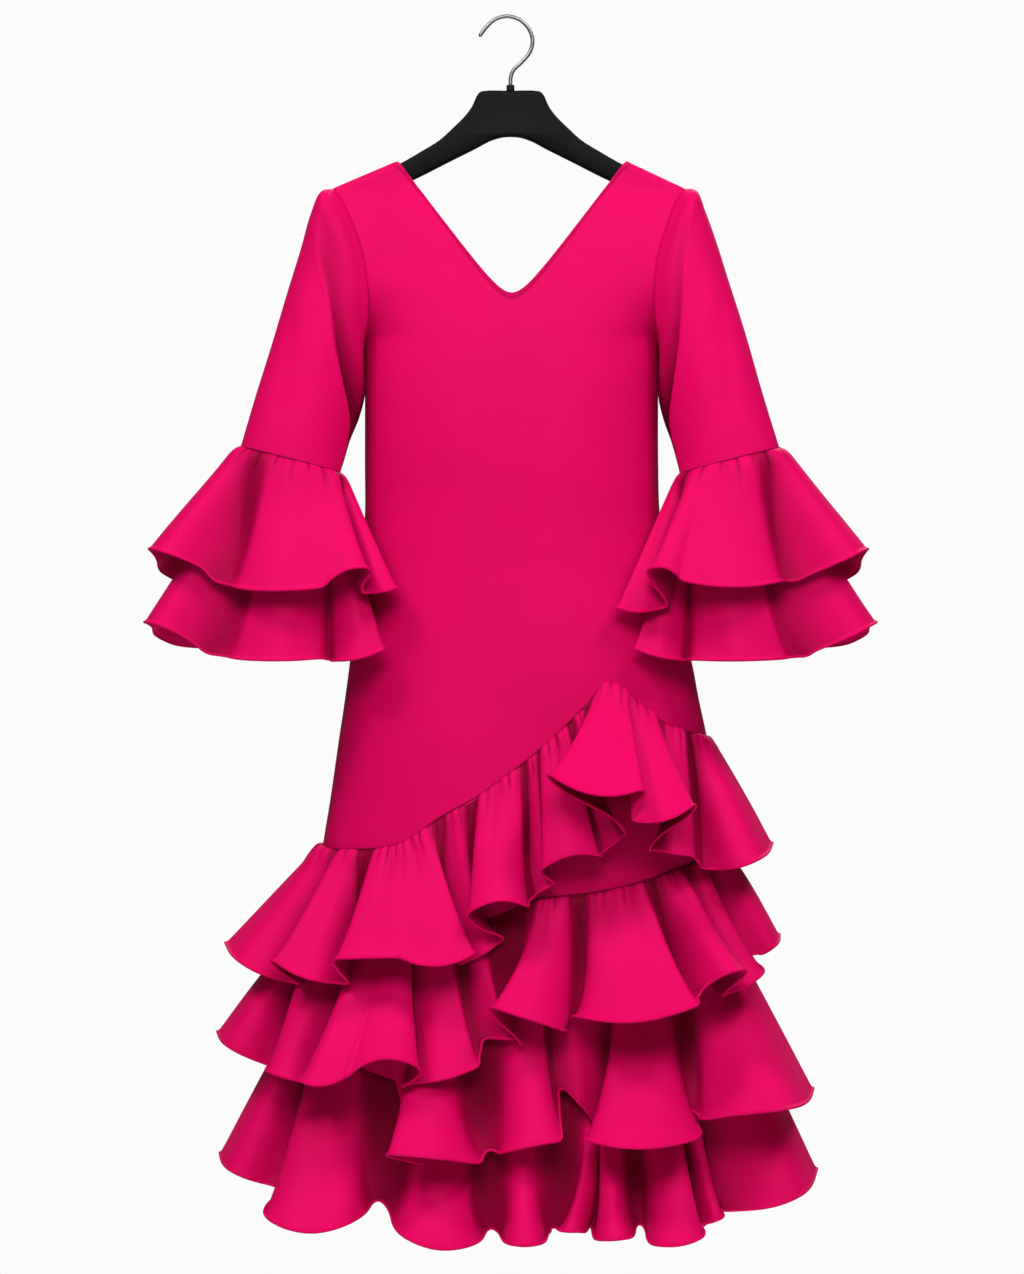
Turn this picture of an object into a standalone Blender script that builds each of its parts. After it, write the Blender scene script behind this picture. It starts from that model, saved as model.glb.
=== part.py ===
"""Flamenco dress on a hanger.

Metres, +Z up, the dress faces -Y.  The origin is the point at the top of the inside of the
hanger's hook, where the hook hangs on a rail.  Sizes below are in millimetres and are turned
into metres when a mesh is made.  The cloth pieces are open surfaces with their inner face
worked out here, and Solidify adds the wall outwards.
"""
import math
from collections import namedtuple

import bmesh
import bpy
from mathutils import Vector

MM = 0.001                    # metres in a millimetre

# ---- driving sizes, in millimetres --------------------------------------------------------
WALL = 1.5                    # cloth
GAP = 0.3                     # between two pieces at a seam
LAID_ON = WALL + 2 * GAP      # from a panel's inner face to the inner face of what lies on it
SIDE_EASE = 3.5               # more of that gap where the sheath bends round its sides
GARMENT_X = 4.5               # the garment's centre line, to the right of the hanging point

SHOULDER_Z = -164.5           # shoulder seam at the neck
SHOULDER_END_Z = -196.0       # shoulder seam at the armhole
UNDERARM_Z = -370.0
HEM_OF_SHEATH_Z = -1256.0
NECK_HALF = 131.5             # half width of the neck, centred on NECK_CENTRE
NECK_CENTRE = 1.0
NECK_POINT_Z = {"front": -316.0, "back": -326.0}
NECK_SOFTNESS = 0.22          # rounds the point of the V
SECTION_POWER = 2.3           # 2 is an ellipse, more has a flatter front
ROLL = 9.0                    # radius of the cloth over the hanger's arms
ARMHOLE_FULLNESS = 0.75       # depth of the armhole against the depth of the body there

# ---- the sheath: one row for each level -----------------------------------------------------
Level = namedtuple("Level", "z left right front back")
SHEATH = (
    Level(-164, -205.0, 200.0, 10, 12),
    Level(-196, -204.5, 199.5, 17, 20),
    Level(-216, -192.0, 188.5, 26, 29),
    Level(-238, -182.0, 180.0, 35, 38),
    Level(-262, -173.0, 172.0, 43, 46),
    Level(-288, -167.0, 166.5, 50, 53),
    Level(-317, -163.5, 164.5, 58, 60),
    Level(-339, -163.5, 165.5, 63, 66),
    Level(-370, -166.5, 168.0, 70, 72),
    Level(-440, -166.5, 168.0, 80, 80),
    Level(-510, -166.5, 168.0, 84, 84),
    Level(-573, -166.5, 170.0, 85, 86),
    Level(-623, -171.0, 179.5, 87, 90),
    Level(-680, -176.5, 191.0, 91, 96),
    Level(-740, -184.0, 206.5, 96, 102),
    Level(-784, -190.0, 215.0, 100, 106),
    Level(-830, -197.0, 225.0, 104, 110),
    Level(-899, -207.0, 237.0, 108, 114),
    Level(-956, -216.0, 244.0, 112, 117),
    Level(-1054, -226.0, 257.5, 118, 122),
    Level(-1129, -233.0, 268.0, 122, 126),
    Level(-1198, -240.0, 277.0, 126, 130),
    Level(-1256, -245.0, 284.0, 129, 133),
    Level(-1400, -256.0, 300.0, 135, 140),
)

# ---- sleeves: one row for each ring, from the armhole down ----------------------------------
Ring = namedtuple("Ring", "outer outer_z inner inner_z depth lean bulge")
SLEEVES = {
    "right": (
        Ring(-217, -206, -170.0, -384, 50, -2, 13),
        Ring(-229, -226, -171.0, -407, 54, -4, 9),
        Ring(-240, -266, -171.5, -433, 55, -7, 5),
        Ring(-254, -313, -176.5, -460, 53, -14, 2),
        Ring(-273, -379, -185.0, -486, 49, -23, 0),
        Ring(-291, -439, -191.5, -510, 44, -33, 0),
        Ring(-307, -496, -195.5, -525, 39, -42, 0),
        Ring(-310, -506, -196.0, -535, 39, -43, 0),
    ),
    "left": (
        Ring(212, -205, 171.5, -384, 50, -2, -13),
        Ring(222, -222, 172.5, -406, 54, -4, -9),
        Ring(234, -256, 173.0, -434, 55, -7, -5),
        Ring(248, -302, 177.0, -462, 53, -14, -2),
        Ring(267, -364, 184.0, -486, 49, -23, 0),
        Ring(286, -433, 190.0, -509, 44, -33, 0),
        Ring(305, -497, 193.5, -526, 39, -42, 0),
        Ring(308, -507, 194.0, -536, 39, -43, 0),
    ),
}

# ---- flounces: one row for each fold, from left to right ------------------------------------
# seam: where the fold leaves the seam.  left, right: its two edges at the hem, with their
# heights.  crest_y, crest_z: its middle.  valley: the turn between it and the next fold.
Fold = namedtuple("Fold", "seam left left_z crest_y crest_z right right_z valley valley_y valley_z")
Tier = namedtuple("Tier", "folds seam_front seam_back left_tip right_tip back_folds back_drop"
                          " back_out side_power front_power")
TIERS = {
    1: Tier(
        folds=(
            Fold(-203, -327, -1064, -78, -1092, -239, -1105, -254, -106, -1090),
            Fold(-179, -269, -1072, -135, -1094, -178, -1100, -188, -153, -1086),
            Fold(-125, -197, -1070, -172, -1071, -37, -1061, -48, -151, -1070),
            Fold(-66, -56, -1079, -130, -1064, -1, -1047, -24, -150, -1034),
            Fold(-27, -48, -1021, -172, -1003, 18, -1012, 22, -148, -1006),
            Fold(8, 27, -1001, -129, -992, 53, -987, 44, -145, -979),
            Fold(44, 35, -971, -161, -953, 100, -956, 102, -150, -955),
            Fold(66, 104, -955, -138, -939, 134, -928, 88, -175, -896),
            Fold(107, 48, -861, -207, -883, 144, -889, 140, -197, -902),
            Fold(121, 134, -914, -190, -915, 205, -896, 176, -165, -921),
            Fold(151, 147, -950, -142, -952, 203, -957, 206, -124, -963),
            Fold(199, 210, -972, -108, -971, 299, -949, 299, 0, -949),
        ),
        seam_front=((-216, -953), (-186, -953), (-125, -945), (-80, -915), (-30, -886),
                    (39, -833), (85, -788), (101, -769), (111, -762), (124, -769),
                    (153, -793), (179, -812), (224, -827)),
        seam_back=((-216, -953), (-100, -915), (40, -868), (150, -842), (224, -827)),
        left_tip=(-327, -1064), right_tip=(299, -949),
        back_folds=7, back_drop=22, back_out=62, side_power=1.0, front_power=1.1),
    2: Tier(
        folds=(
            Fold(-212, -336, -1166, -72, -1185, -267, -1203, -269, -94, -1195),
            Fold(-186, -275, -1198, -128, -1205, -221, -1216, -227, -150, -1205),
            Fold(-156, -235, -1201, -184, -1207, -185, -1209, -178, -184, -1201),
            Fold(-134, -174, -1201, -194, -1177, -100, -1191, -114, -173, -1204),
            Fold(-73, -124, -1210, -154, -1203, -34, -1188, -30, -134, -1173),
            Fold(-28, -28, -1161, -141, -1159, 18, -1166, -2, -158, -1147),
            Fold(21, -25, -1121, -184, -1132, 57, -1149, 63, -140, -1125),
            Fold(100, 69, -1132, -198, -1135, 209, -1117, 211, -182, -1110),
            Fold(162, 217, -1104, -182, -1083, 262, -1082, 249, -150, -1098),
            Fold(201, 237, -1115, -120, -1104, 285, -1088, 281, -88, -1080),
            Fold(229, 277, -1073, -58, -1068, 307, -1054, 307, 0, -1054),
        ),
        seam_front=((-224, -1042), (-124, -1043), (-57, -1029), (24, -1007), (89, -999),
                    (144, -988), (204, -968), (245, -961)),
        seam_back=((-224, -1042), (-80, -1020), (100, -985), (245, -961)),
        left_tip=(-336, -1166), right_tip=(307, -1054),
        back_folds=7, back_drop=26, back_out=62, side_power=0.8, front_power=1.4),
    4: Tier(
        folds=(
            Fold(-223, -333, -1305, -85, -1322, -262, -1335, -268, -112, -1340),
            Fold(-192, -275, -1354, -184, -1369, -159, -1352, -147, -122, -1341),
            Fold(-113, -132, -1366, -206, -1384, -30, -1379, -20, -140, -1370),
            Fold(-35, -9, -1380, -202, -1381, 39, -1380, 43, -142, -1371),
            Fold(33, 49, -1369, -184, -1368, 79, -1369, 85, -150, -1367),
            Fold(85, 91, -1377, -204, -1374, 136, -1374, 144, -146, -1365),
            Fold(145, 152, -1382, -200, -1381, 213, -1373, 214, -156, -1365),
            Fold(203, 216, -1367, -152, -1361, 236, -1357, 236, -130, -1352),
            Fold(244, 240, -1355, -122, -1348, 350, -1323, 350, 0, -1323),
        ),
        seam_front=((-230, -1129), (-191, -1185), (-124, -1213), (-46, -1224), (32, -1224),
                    (111, -1218), (211, -1196), (274, -1173)),
        seam_back=((-230, -1129), (-150, -1190), (0, -1216), (150, -1206), (274, -1173)),
        left_tip=(-333, -1305), right_tip=(350, -1323),
        back_folds=8, back_drop=58, back_out=64, side_power=1.0, front_power=1.7),
}
# the third flounce winds only part of the way round: its left ends are tucked under the second
PART_TIER = Tier(
    folds=(
        Fold(-97, -166, -1280, -205, -1282, -30, -1295, -23, -148, -1283),
        Fold(-7, -13, -1285, -184, -1273, 57, -1269, 55, -140, -1212),
        Fold(106, 80, -1266, -214, -1272, 214, -1263, 199, -150, -1239),
        Fold(218, 209, -1249, -172, -1237, 346, -1231, 346, 0, -1231),
    ),
    seam_front=((-140, -1142), (-46, -1135), (33, -1123), (144, -1118), (212, -1101),
                (261, -1082)),
    seam_back=((-235, -1150), (-100, -1140), (0, -1128), (140, -1106), (261, -1082)),
    left_tip=(-330, -1290), right_tip=(346, -1231),
    back_folds=6, back_drop=30, back_out=74, side_power=1.0, front_power=1.5)
TUCK = (-96, -153, -1296)     # the free end of its hem in front
BACK_WRAP = 0.68              # how far its back reaches, as a share of the way to the left side

# ---- cuff flounces: folds of the front, then how the back half is shaped --------------------
Cuff = namedtuple("Cuff", "folds left_tip right_tip back_folds back_out back_z seam_ring power")
CUFFS = {
    ("right", "upper"): Cuff(
        folds=(
            Fold(0, -418, -614, -98, -636, -311, -657, -308, -96, -655),
            Fold(0, -306, -655, -126, -660, -209, -655, -206, -118, -652),
            Fold(0, -203, -650, -128, -636, -157, -637, -166, -117, -652),
            Fold(0, -165, -664, -107, -662, -127, -656, -127, -96, -656),
        ),
        left_tip=(-418, -34, -614), right_tip=(-127, -98, -656),
        back_folds=3, back_out=48, back_z=-668, seam_ring=6.0, power=1.0),
    ("right", "lower"): Cuff(
        folds=(
            Fold(0, -423, -696, -88, -712, -298, -732, -295, -86, -741),
            Fold(0, -292, -734, -108, -738, -208, -736, -206, -88, -745),
            Fold(0, -200, -741, -108, -736, -140, -724, -140, -98, -724),
        ),
        left_tip=(-423, -36, -696), right_tip=(-140, -98, -724),
        back_folds=3, back_out=36, back_z=-748, seam_ring=6.3, power=1.3),
    ("left", "upper"): Cuff(
        folds=(
            Fold(0, 118, -679, -108, -684, 176, -678, 166, -120, -660),
            Fold(0, 152, -639, -134, -634, 186, -644, 190, -130, -648),
            Fold(0, 192, -648, -128, -656, 298, -649, 306, -100, -650),
            Fold(0, 309, -650, -98, -638, 414, -611, 414, -34, -611),
        ),
        left_tip=(118, -104, -679), right_tip=(414, -34, -611),
        back_folds=3, back_out=48, back_z=-668, seam_ring=6.0, power=1.0),
    ("left", "lower"): Cuff(
        folds=(
            Fold(0, 138, -724, -106, -734, 194, -740, 198, -90, -744),
            Fold(0, 202, -738, -108, -738, 314, -735, 322, -86, -732),
            Fold(0, 326, -733, -88, -726, 423, -695, 423, -36, -695),
        ),
        left_tip=(138, -104, -724), right_tip=(423, -36, -695),
        back_folds=3, back_out=36, back_z=-748, seam_ring=6.3, power=1.3),
}
CUFF_OUT = {"upper": 4.8, "lower": 2.4}      # from the sleeve's inner face
BODY_CLEAR = {"upper": 13.0, "lower": 17.0}   # between a cuff flounce and the body beside it

# ---- hanger and hook ---------------------------------------------------------------------------
STEM_X = 4.0                  # the hanger's centre line
HANGER_THICK = 11.0
HANGER_EDGE = 3.5             # rounding of the hanger's edges
HANGER_TOP = ((0, -83.4), (28, -83.4), (35, -85.0), (38.5, -89.0), (44, -101), (51, -111),
              (68, -128), (82, -140.5), (103, -153.5), (127, -167.2), (150, -177.5), (170, -186.5),
              (180, -191.5), (185, -199))
HANGER_BOTTOM = ((182, -206), (175, -208), (150, -201), (114, -187), (70, -165), (40, -150),
                 (24, -141.5), (10, -137.2), (0, -136.3))
HOOK_WIRE = 4.0
HOOK_INNER = 27.0             # inner radius of the hook
HOOK_TIP_ANGLE = 168.0
HOOK_NECK_ANGLE = -60.0
COLLAR_OUTER = 9.2
COLLAR_BORE = 4.8
COLLAR_TOP = -76.5

# ---- resolution ----------------------------------------------------------------------------------
SHEATH_ROWS = (HEM_OF_SHEATH_Z, -1150, -1050, -956, -870, -784, -700, -623, -540, -440, -370)
YOKE_STEPS = (0.28, 0.56, 0.80, 0.94, 0.985, 1.0)
SHEATH_COLUMNS = (0.0, 0.14, 0.30, 0.46, 0.60, 0.652, 0.78, 0.89, 0.965, 1.0)
SLEEVE_SIDES = 18
FOLD_CELLS = (1, 2, 2, 2, 1)  # to the left edge, two to the crest, to the right edge, to the valley
FLOUNCE_ROWS = (0.0, 0.3, 0.64, 1.0)
CUFF_ROWS = (0.0, 0.3, 0.64, 1.0)


# ---- small helpers ---------------------------------------------------------------------------------
def between(a, b, share):
    return a + (b - a) * share


def smooth_table(rows, key, value):
    """A smooth curve through the rows of a table, as a function of the column `key`."""
    rows = sorted(rows, key=lambda row: row[key])
    xs = [float(row[key]) for row in rows]
    ys = [float(row[value]) for row in rows]
    slopes = []
    for i in range(len(xs)):
        low = max(i - 1, 0)
        high = min(i + 1, len(xs) - 1)
        slopes.append((ys[high] - ys[low]) / (xs[high] - xs[low]))

    def read(x):
        x = min(max(x, xs[0]), xs[-1])
        i = 0
        while i < len(xs) - 2 and x > xs[i + 1]:
            i += 1
        span = xs[i + 1] - xs[i]
        s = (x - xs[i]) / span
        return ((2 * s ** 3 - 3 * s ** 2 + 1) * ys[i] + (s ** 3 - 2 * s ** 2 + s) * span * slopes[i]
                + (3 * s ** 2 - 2 * s ** 3) * ys[i + 1] + (s ** 3 - s ** 2) * span * slopes[i + 1])
    return read


def curve_through(points, cells, closed=False):
    """Points along a smooth curve through `points`, with cells[i] steps after points[i]."""
    points = [Vector(p) for p in points]
    count = len(points)
    if closed:
        before = points[-1]
        after = [points[0], points[1]]
    else:
        before = 2 * points[0] - points[1]
        after = [2 * points[-1] - points[-2]]
    line = [before] + points + after
    spans = count if closed else count - 1
    out = []
    for i in range(spans):
        p0, p1, p2, p3 = line[i:i + 4]
        step1 = max((p2 - p1).length, 1e-6) ** 0.5
        step0 = max((p1 - p0).length, 1e-6) ** 0.5
        step2 = max((p3 - p2).length, 1e-6) ** 0.5
        m1 = (p2 - p1) + step1 * ((p1 - p0) / step0 - (p2 - p0) / (step0 + step1))
        m2 = (p2 - p1) + step1 * ((p3 - p2) / step2 - (p3 - p1) / (step1 + step2))
        for k in range(cells[i % len(cells)]):
            s = k / cells[i % len(cells)]
            out.append((2 * s ** 3 - 3 * s ** 2 + 1) * p1 + (s ** 3 - 2 * s ** 2 + s) * m1
                       + (3 * s ** 2 - 2 * s ** 3) * p2 + (s ** 3 - s ** 2) * m2)
    if not closed:
        out.append(points[-1])
    return out


def cloth_material(name, colour, roughness):
    material = bpy.data.materials.new(name)
    material.use_nodes = True
    shader = material.node_tree.nodes["Principled BSDF"]
    shader.inputs["Base Color"].default_value = (*colour, 1.0)
    shader.inputs["Roughness"].default_value = roughness
    return material


def finish_object(obj, material):
    obj.data.materials.clear()
    obj.data.materials.append(material)
    for owner in list(obj.users_collection):
        owner.objects.unlink(obj)
    DRESS.objects.link(obj)


def cloth_piece(name, rows, material, turn=False, ring=False):
    """A wall of cloth on a grid of points in millimetres; rows run from the hem upwards."""
    if turn:
        rows = [list(reversed(row)) for row in rows]
    mesh = bpy.data.meshes.new(name)
    shell = bmesh.new()
    bmesh.ops.create_grid(shell, x_segments=len(rows[0]) - 1, y_segments=len(rows) - 1, size=1.0)
    shell.verts.ensure_lookup_table()
    places = [point for row in rows for point in row]
    for vertex, place in zip(shell.verts, places):
        vertex.co = (Vector(place) + Vector((GARMENT_X, 0.0, 0.0))) * MM
    if ring:
        bmesh.ops.remove_doubles(shell, verts=shell.verts, dist=1e-6)
    for face in shell.faces:
        face.smooth = True
    shell.to_mesh(mesh)
    shell.free()
    obj = bpy.data.objects.new(name, mesh)
    wall = obj.modifiers.new("Wall", "SOLIDIFY")
    wall.thickness = WALL * MM
    wall.offset = 1.0
    finish_object(obj, material)
    return obj


# ---- the sheath ----------------------------------------------------------------------------------
SHEATH_LEFT = smooth_table(SHEATH, 0, 1)
SHEATH_RIGHT = smooth_table(SHEATH, 0, 2)
SHEATH_FRONT = smooth_table(SHEATH, 0, 3)
SHEATH_BACK = smooth_table(SHEATH, 0, 4)


def oval(t):
    """Height of the sheath's rounded section at t, which is 1 in its middle and 0 at its sides."""
    return max(1 - abs(t) ** SECTION_POWER, 0.0) ** (1 / SECTION_POWER)


def armhole_share(z):
    """Depth of the armhole's edge at this height, as a share of the body's depth there."""
    half = (SHOULDER_END_Z - UNDERARM_Z) / 2
    level = (z - UNDERARM_Z) / half - 1
    if abs(level) >= 1:
        return 0.0
    return ARMHOLE_FULLNESS * math.sqrt(1 - level ** 2)


def shoulder_z(x):
    """Height of the shoulder seam at x."""
    out = abs(x - NECK_CENTRE) - NECK_HALF
    reach = SHEATH_RIGHT(SHOULDER_END_Z) - NECK_CENTRE - NECK_HALF
    if x < NECK_CENTRE:
        reach = NECK_CENTRE - NECK_HALF - SHEATH_LEFT(SHOULDER_END_Z)
    return between(SHOULDER_Z, SHOULDER_END_Z, min(max(out / reach, 0.0), 1.0))


def sheath_point(side, t, z):
    """The inner face of the sheath: t runs from -1 at the left side to 1 at the right."""
    left = SHEATH_LEFT(z)
    right = SHEATH_RIGHT(z)
    depth = SHEATH_FRONT(z) if side == "front" else SHEATH_BACK(z)
    x = (left + right) / 2 + t * (right - left) / 2
    y = depth * oval(t * oval(armhole_share(z)))
    below = min(max(shoulder_z(x) - z, 0.0), ROLL)
    y = y * math.sqrt(1 - (1 - below / ROLL) ** 2) + GAP / 2
    return Vector((x, -y if side == "front" else y, z))


def sheath_outward(side, t, z):
    """The level direction that points straight out of the sheath."""
    half = (SHEATH_RIGHT(z) - SHEATH_LEFT(z)) / 2
    depth = SHEATH_FRONT(z) if side == "front" else SHEATH_BACK(z)
    x = math.copysign(abs(t) ** (SECTION_POWER - 1) / half, t)
    y = oval(t) ** (SECTION_POWER - 1) / depth
    return Vector((x, -y if side == "front" else y, 0.0)).normalized()


def neck_edge_z(side, x):
    """Height of the V neck at x, or of the shoulder seam beyond it."""
    out = abs(x - NECK_CENTRE) / NECK_HALF
    if out >= 1:
        return shoulder_z(x)
    soft = NECK_SOFTNESS
    rise = (math.sqrt(out ** 2 + soft ** 2) - soft) / (math.sqrt(1 + soft ** 2) - soft)
    return between(NECK_POINT_Z[side], SHOULDER_Z, rise)


def top_of_column(side, t):
    z = UNDERARM_Z
    for _ in range(40):
        z = between(z, neck_edge_z(side, sheath_point(side, t, z).x), 0.7)
    return z


def sheath_panel(side, material):
    columns = sorted({-t for t in SHEATH_COLUMNS} | set(SHEATH_COLUMNS))
    tops = [SHOULDER_END_Z if abs(t) == 1.0 else top_of_column(side, t) for t in columns]
    rows = [[sheath_point(side, t, z) for t in columns] for z in SHEATH_ROWS]
    for share in YOKE_STEPS:
        rows.append([sheath_point(side, t, between(UNDERARM_Z, top, share))
                     for t, top in zip(columns, tops)])
    cloth_piece("dress_" + side, rows, material, turn=side == "back")


# ---- sleeves ---------------------------------------------------------------------------------------
def armhole_ring(side, sides):
    """The sleeve's first ring, just outside the armhole, from its top round by the front."""
    sign = -1 if side == "right" else 1
    edge = SHEATH_LEFT if side == "right" else SHEATH_RIGHT
    points = []
    for k in range(sides):
        angle = 2 * math.pi * k / sides
        down = (1 - math.cos(angle)) / 2
        z = between(SHOULDER_END_Z, UNDERARM_Z, down)
        panel = "front" if math.sin(angle) >= 0 else "back"
        depth = SHEATH_FRONT(z) if panel == "front" else SHEATH_BACK(z)
        y = armhole_share(z) * depth
        below = min(SHOULDER_END_Z - z, ROLL)
        y = y * math.sqrt(max(1 - (1 - below / ROLL) ** 2, 0.0))
        x = edge(z) + sign * (2.7 + 1.8 * down ** 6)
        points.append(Vector((x, -y if panel == "front" else y, z)))
    return points


def sleeve_ring(ring, sides):
    points = []
    for k in range(sides):
        angle = 2 * math.pi * k / sides
        share = (1 + math.cos(angle)) / 2
        x = between(ring.inner, ring.outer, share) + ring.bulge * math.sin(angle) ** 2
        z = between(ring.inner_z, ring.outer_z, share)
        points.append(Vector((x, ring.lean - ring.depth * math.sin(angle), z)))
    return points


def sleeve_rings(side, sides):
    rings = [armhole_ring(side, sides)]
    for ring in SLEEVES[side]:
        rings.append(sleeve_ring(ring, sides))
    return rings


def sleeve(side, material):
    rows = [ring + ring[:1] for ring in reversed(sleeve_rings(side, SLEEVE_SIDES))]
    cloth_piece("sleeve_" + side, rows, material, turn=side == "left", ring=True)


# ---- flounces --------------------------------------------------------------------------------------
def hem_points(folds, first, last):
    """Turns of the hem with the place on the seam that each hangs from, left to right."""
    points = [first]
    for i, fold in enumerate(folds):
        before = first[3] if i == 0 else between(folds[i - 1].seam, fold.seam, 0.5)
        after = last[3] if i == len(folds) - 1 else between(fold.seam, folds[i + 1].seam, 0.5)
        old_valley = fold.crest_y if i == 0 else folds[i - 1].valley_y
        if i > 0:
            points.append((fold.left, between(fold.crest_y, old_valley, 0.42), fold.left_z,
                           between(before, fold.seam, 0.3)))
        for share, place in ((0.28, between(before, fold.seam, 0.7)),
                             (0.72, between(fold.seam, after, 0.3))):
            straight = between(fold.left_z, fold.right_z, share)
            sag = (fold.crest_z - between(fold.left_z, fold.right_z, 0.5)) * 4 * share * (1 - share)
            points.append((between(fold.left, fold.right, share), fold.crest_y, straight + sag, place))
        if i < len(folds) - 1:
            points.append((fold.right, between(fold.crest_y, fold.valley_y, 0.42), fold.right_z,
                           between(fold.seam, after, 0.7)))
            points.append((fold.valley, fold.valley_y, fold.valley_z, after))
    points.append(last)
    return points


def hem_cells(points_count):
    """How many cells follow each of the hem's points."""
    first = [FOLD_CELLS[1] + 1, FOLD_CELLS[2], FOLD_CELLS[3], FOLD_CELLS[4]]
    cells = first
    while len(cells) < points_count:
        cells = cells + list(FOLD_CELLS)
    return cells[:points_count]


def round_hem(count, left_tip, right_tip, depth, out, drop, wrap):
    """The turns of a plain hem round the back, from the left tip to the right tip.

    wrap is how much of the way the flounce covers, from the right side.
    """
    centre = (left_tip[0] + right_tip[0]) / 2
    half = (right_tip[0] - left_tip[0]) / 2
    steps = ((0.0, 0.0), (0.14, 0.55), (0.34, 1.0), (0.66, 1.0), (0.86, 0.55))
    points = []
    for k in range(count):
        for share, crest in steps:
            place = (k + share) / count
            place += 0.022 * math.sin(2 * math.pi * place) + 0.010 * math.sin(6 * math.pi * place)
            angle = math.pi * wrap * (1 - place)
            across = math.copysign(abs(math.cos(angle)) ** 0.87, math.cos(angle))
            deep = depth + out * (0.42 + 0.58 * crest * (1 + 0.12 * math.sin(1.7 * k)))
            rim = half * (0.90 + 0.10 * crest)
            share_across = (1 + across) / 2
            level = between(left_tip[2], right_tip[2], share_across)
            points.append((centre + rim * across, left_tip[1] + deep * math.sin(angle) ** 0.87,
                           level - drop * math.sin(angle) + 6 * (1 - crest),
                           between(left_tip[3], right_tip[3], share_across)))
    if wrap == 1.0:
        points[0] = left_tip
    return points + [right_tip]


def tier_point(side, tier, seam_z, turn, down):
    """A point of a flounce: `down` runs from 0 at the seam to 1 at the hem."""
    x, y, z, place = turn
    start_z = seam_z(place)
    left = SHEATH_LEFT(start_z)
    right = SHEATH_RIGHT(start_z)
    t = min(max((2 * place - left - right) / (right - left), -1.0), 1.0)
    level = between(start_z, z, down)
    laid_on = LAID_ON + SIDE_EASE * abs(t) ** 8
    base = sheath_point(side, t, level) + laid_on * sheath_outward(side, t, level)
    rim = sheath_point(side, t, z) + laid_on * sheath_outward(side, t, z)
    power = between(tier.front_power, tier.side_power, abs(t) ** 4)
    return base + (Vector((x, y, z)) - rim) * down ** power


def tier_piece(name, side, tier, material):
    seam_rows = tier.seam_front if side == "front" else tier.seam_back
    seam_z = smooth_table(seam_rows, 0, 1)
    sign = -1 if side == "front" else 1
    edge = sign * GAP / 2
    first = (tier.left_tip[0], edge, tier.left_tip[1], SHEATH_LEFT(seam_rows[0][1]))
    last = (tier.right_tip[0], edge, tier.right_tip[1], SHEATH_RIGHT(seam_rows[-1][1]))
    wrap = 1.0
    if tier is PART_TIER:
        wrap = BACK_WRAP
    if tier is PART_TIER and side == "front":
        first = (*TUCK, seam_rows[0][0])
    if side == "front":
        turns = hem_points(tier.folds, first, last)
    else:
        depth = SHEATH_BACK(between(tier.left_tip[1], tier.right_tip[1], 0.5))
        turns = round_hem(tier.back_folds, first, last, depth, tier.back_out, tier.back_drop, wrap)
    line = curve_through(turns, hem_cells(len(turns)))
    rows = [[tier_point(side, tier, seam_z, turn, down) for turn in line]
            for down in reversed(FLOUNCE_ROWS)]
    cloth_piece(name, rows, material, turn=side == "back")


# ---- cuff flounces ---------------------------------------------------------------------------------
def cuff_seam(side, place, turn, out):
    """A point outside the sleeve's wall: place is the ring, turn the share of the way round."""
    rings = SLEEVES[side]
    low = int(place)
    share = place - low
    a = rings[low]
    b = rings[min(low + 1, len(rings) - 1)]
    ring = Ring(*(between(p, q, share) for p, q in zip(a, b)))
    angle = 2 * math.pi * turn
    across = Vector((ring.outer - ring.inner, 0.0, ring.outer_z - ring.inner_z)) / 2
    middle = Vector(((ring.outer + ring.inner) / 2, ring.lean, (ring.outer_z + ring.inner_z) / 2))
    grow = 1 + out / across.length
    deep = ring.depth + out
    return middle + across * grow * math.cos(angle) + Vector((0.0, -deep * math.sin(angle), 0.0))


def cuff_hem(side, cuff, clear):
    """The turns of a cuff flounce's hem: its front from left to right, then its back."""
    first = (*cuff.left_tip, 0.0)
    last = (*cuff.right_tip, 0.0)
    front = hem_points(cuff.folds, first, last)
    centre = (cuff.left_tip[0] + cuff.right_tip[0]) / 2
    half = (cuff.right_tip[0] - cuff.left_tip[0]) / 2
    back = []
    body = 1 if side == "right" else -1
    steps = ((0.14, 0.55), (0.34, 1.0), (0.66, 1.0), (0.86, 0.55), (1.0, 0.0))
    for k in range(cuff.back_folds):
        for share, crest in steps:
            place = (k + share) / cuff.back_folds
            if k == cuff.back_folds - 1 and share == 1.0:
                continue
            angle = math.pi * place
            x = centre + half * (0.9 + 0.1 * crest) * math.cos(angle)
            tip_y = between(cuff.right_tip[1], cuff.left_tip[1], place)
            out = cuff.back_out * (0.6 + 0.4 * crest)
            y = tip_y * (1 - math.sin(angle)) + out * math.sin(angle)
            z = between(between(cuff.right_tip[2], cuff.left_tip[2], place), cuff.back_z, math.sin(angle))
            back.append((keep_beside(body, clear, x, y, z), y, z, 0.0))
    return front, back


def keep_beside(body, clear, x, y, z):
    """Hold a point of a cuff flounce clear of the body beside it."""
    side = "front" if y < 0 else "back"
    depth = SHEATH_FRONT(z) if side == "front" else SHEATH_BACK(z)
    half = oval(min(abs(y) / (depth + clear), 1.0))
    if body > 0:
        return min(x, (SHEATH_LEFT(z) - clear) * half)
    return max(x, (SHEATH_RIGHT(z) + clear) * half)


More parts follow.
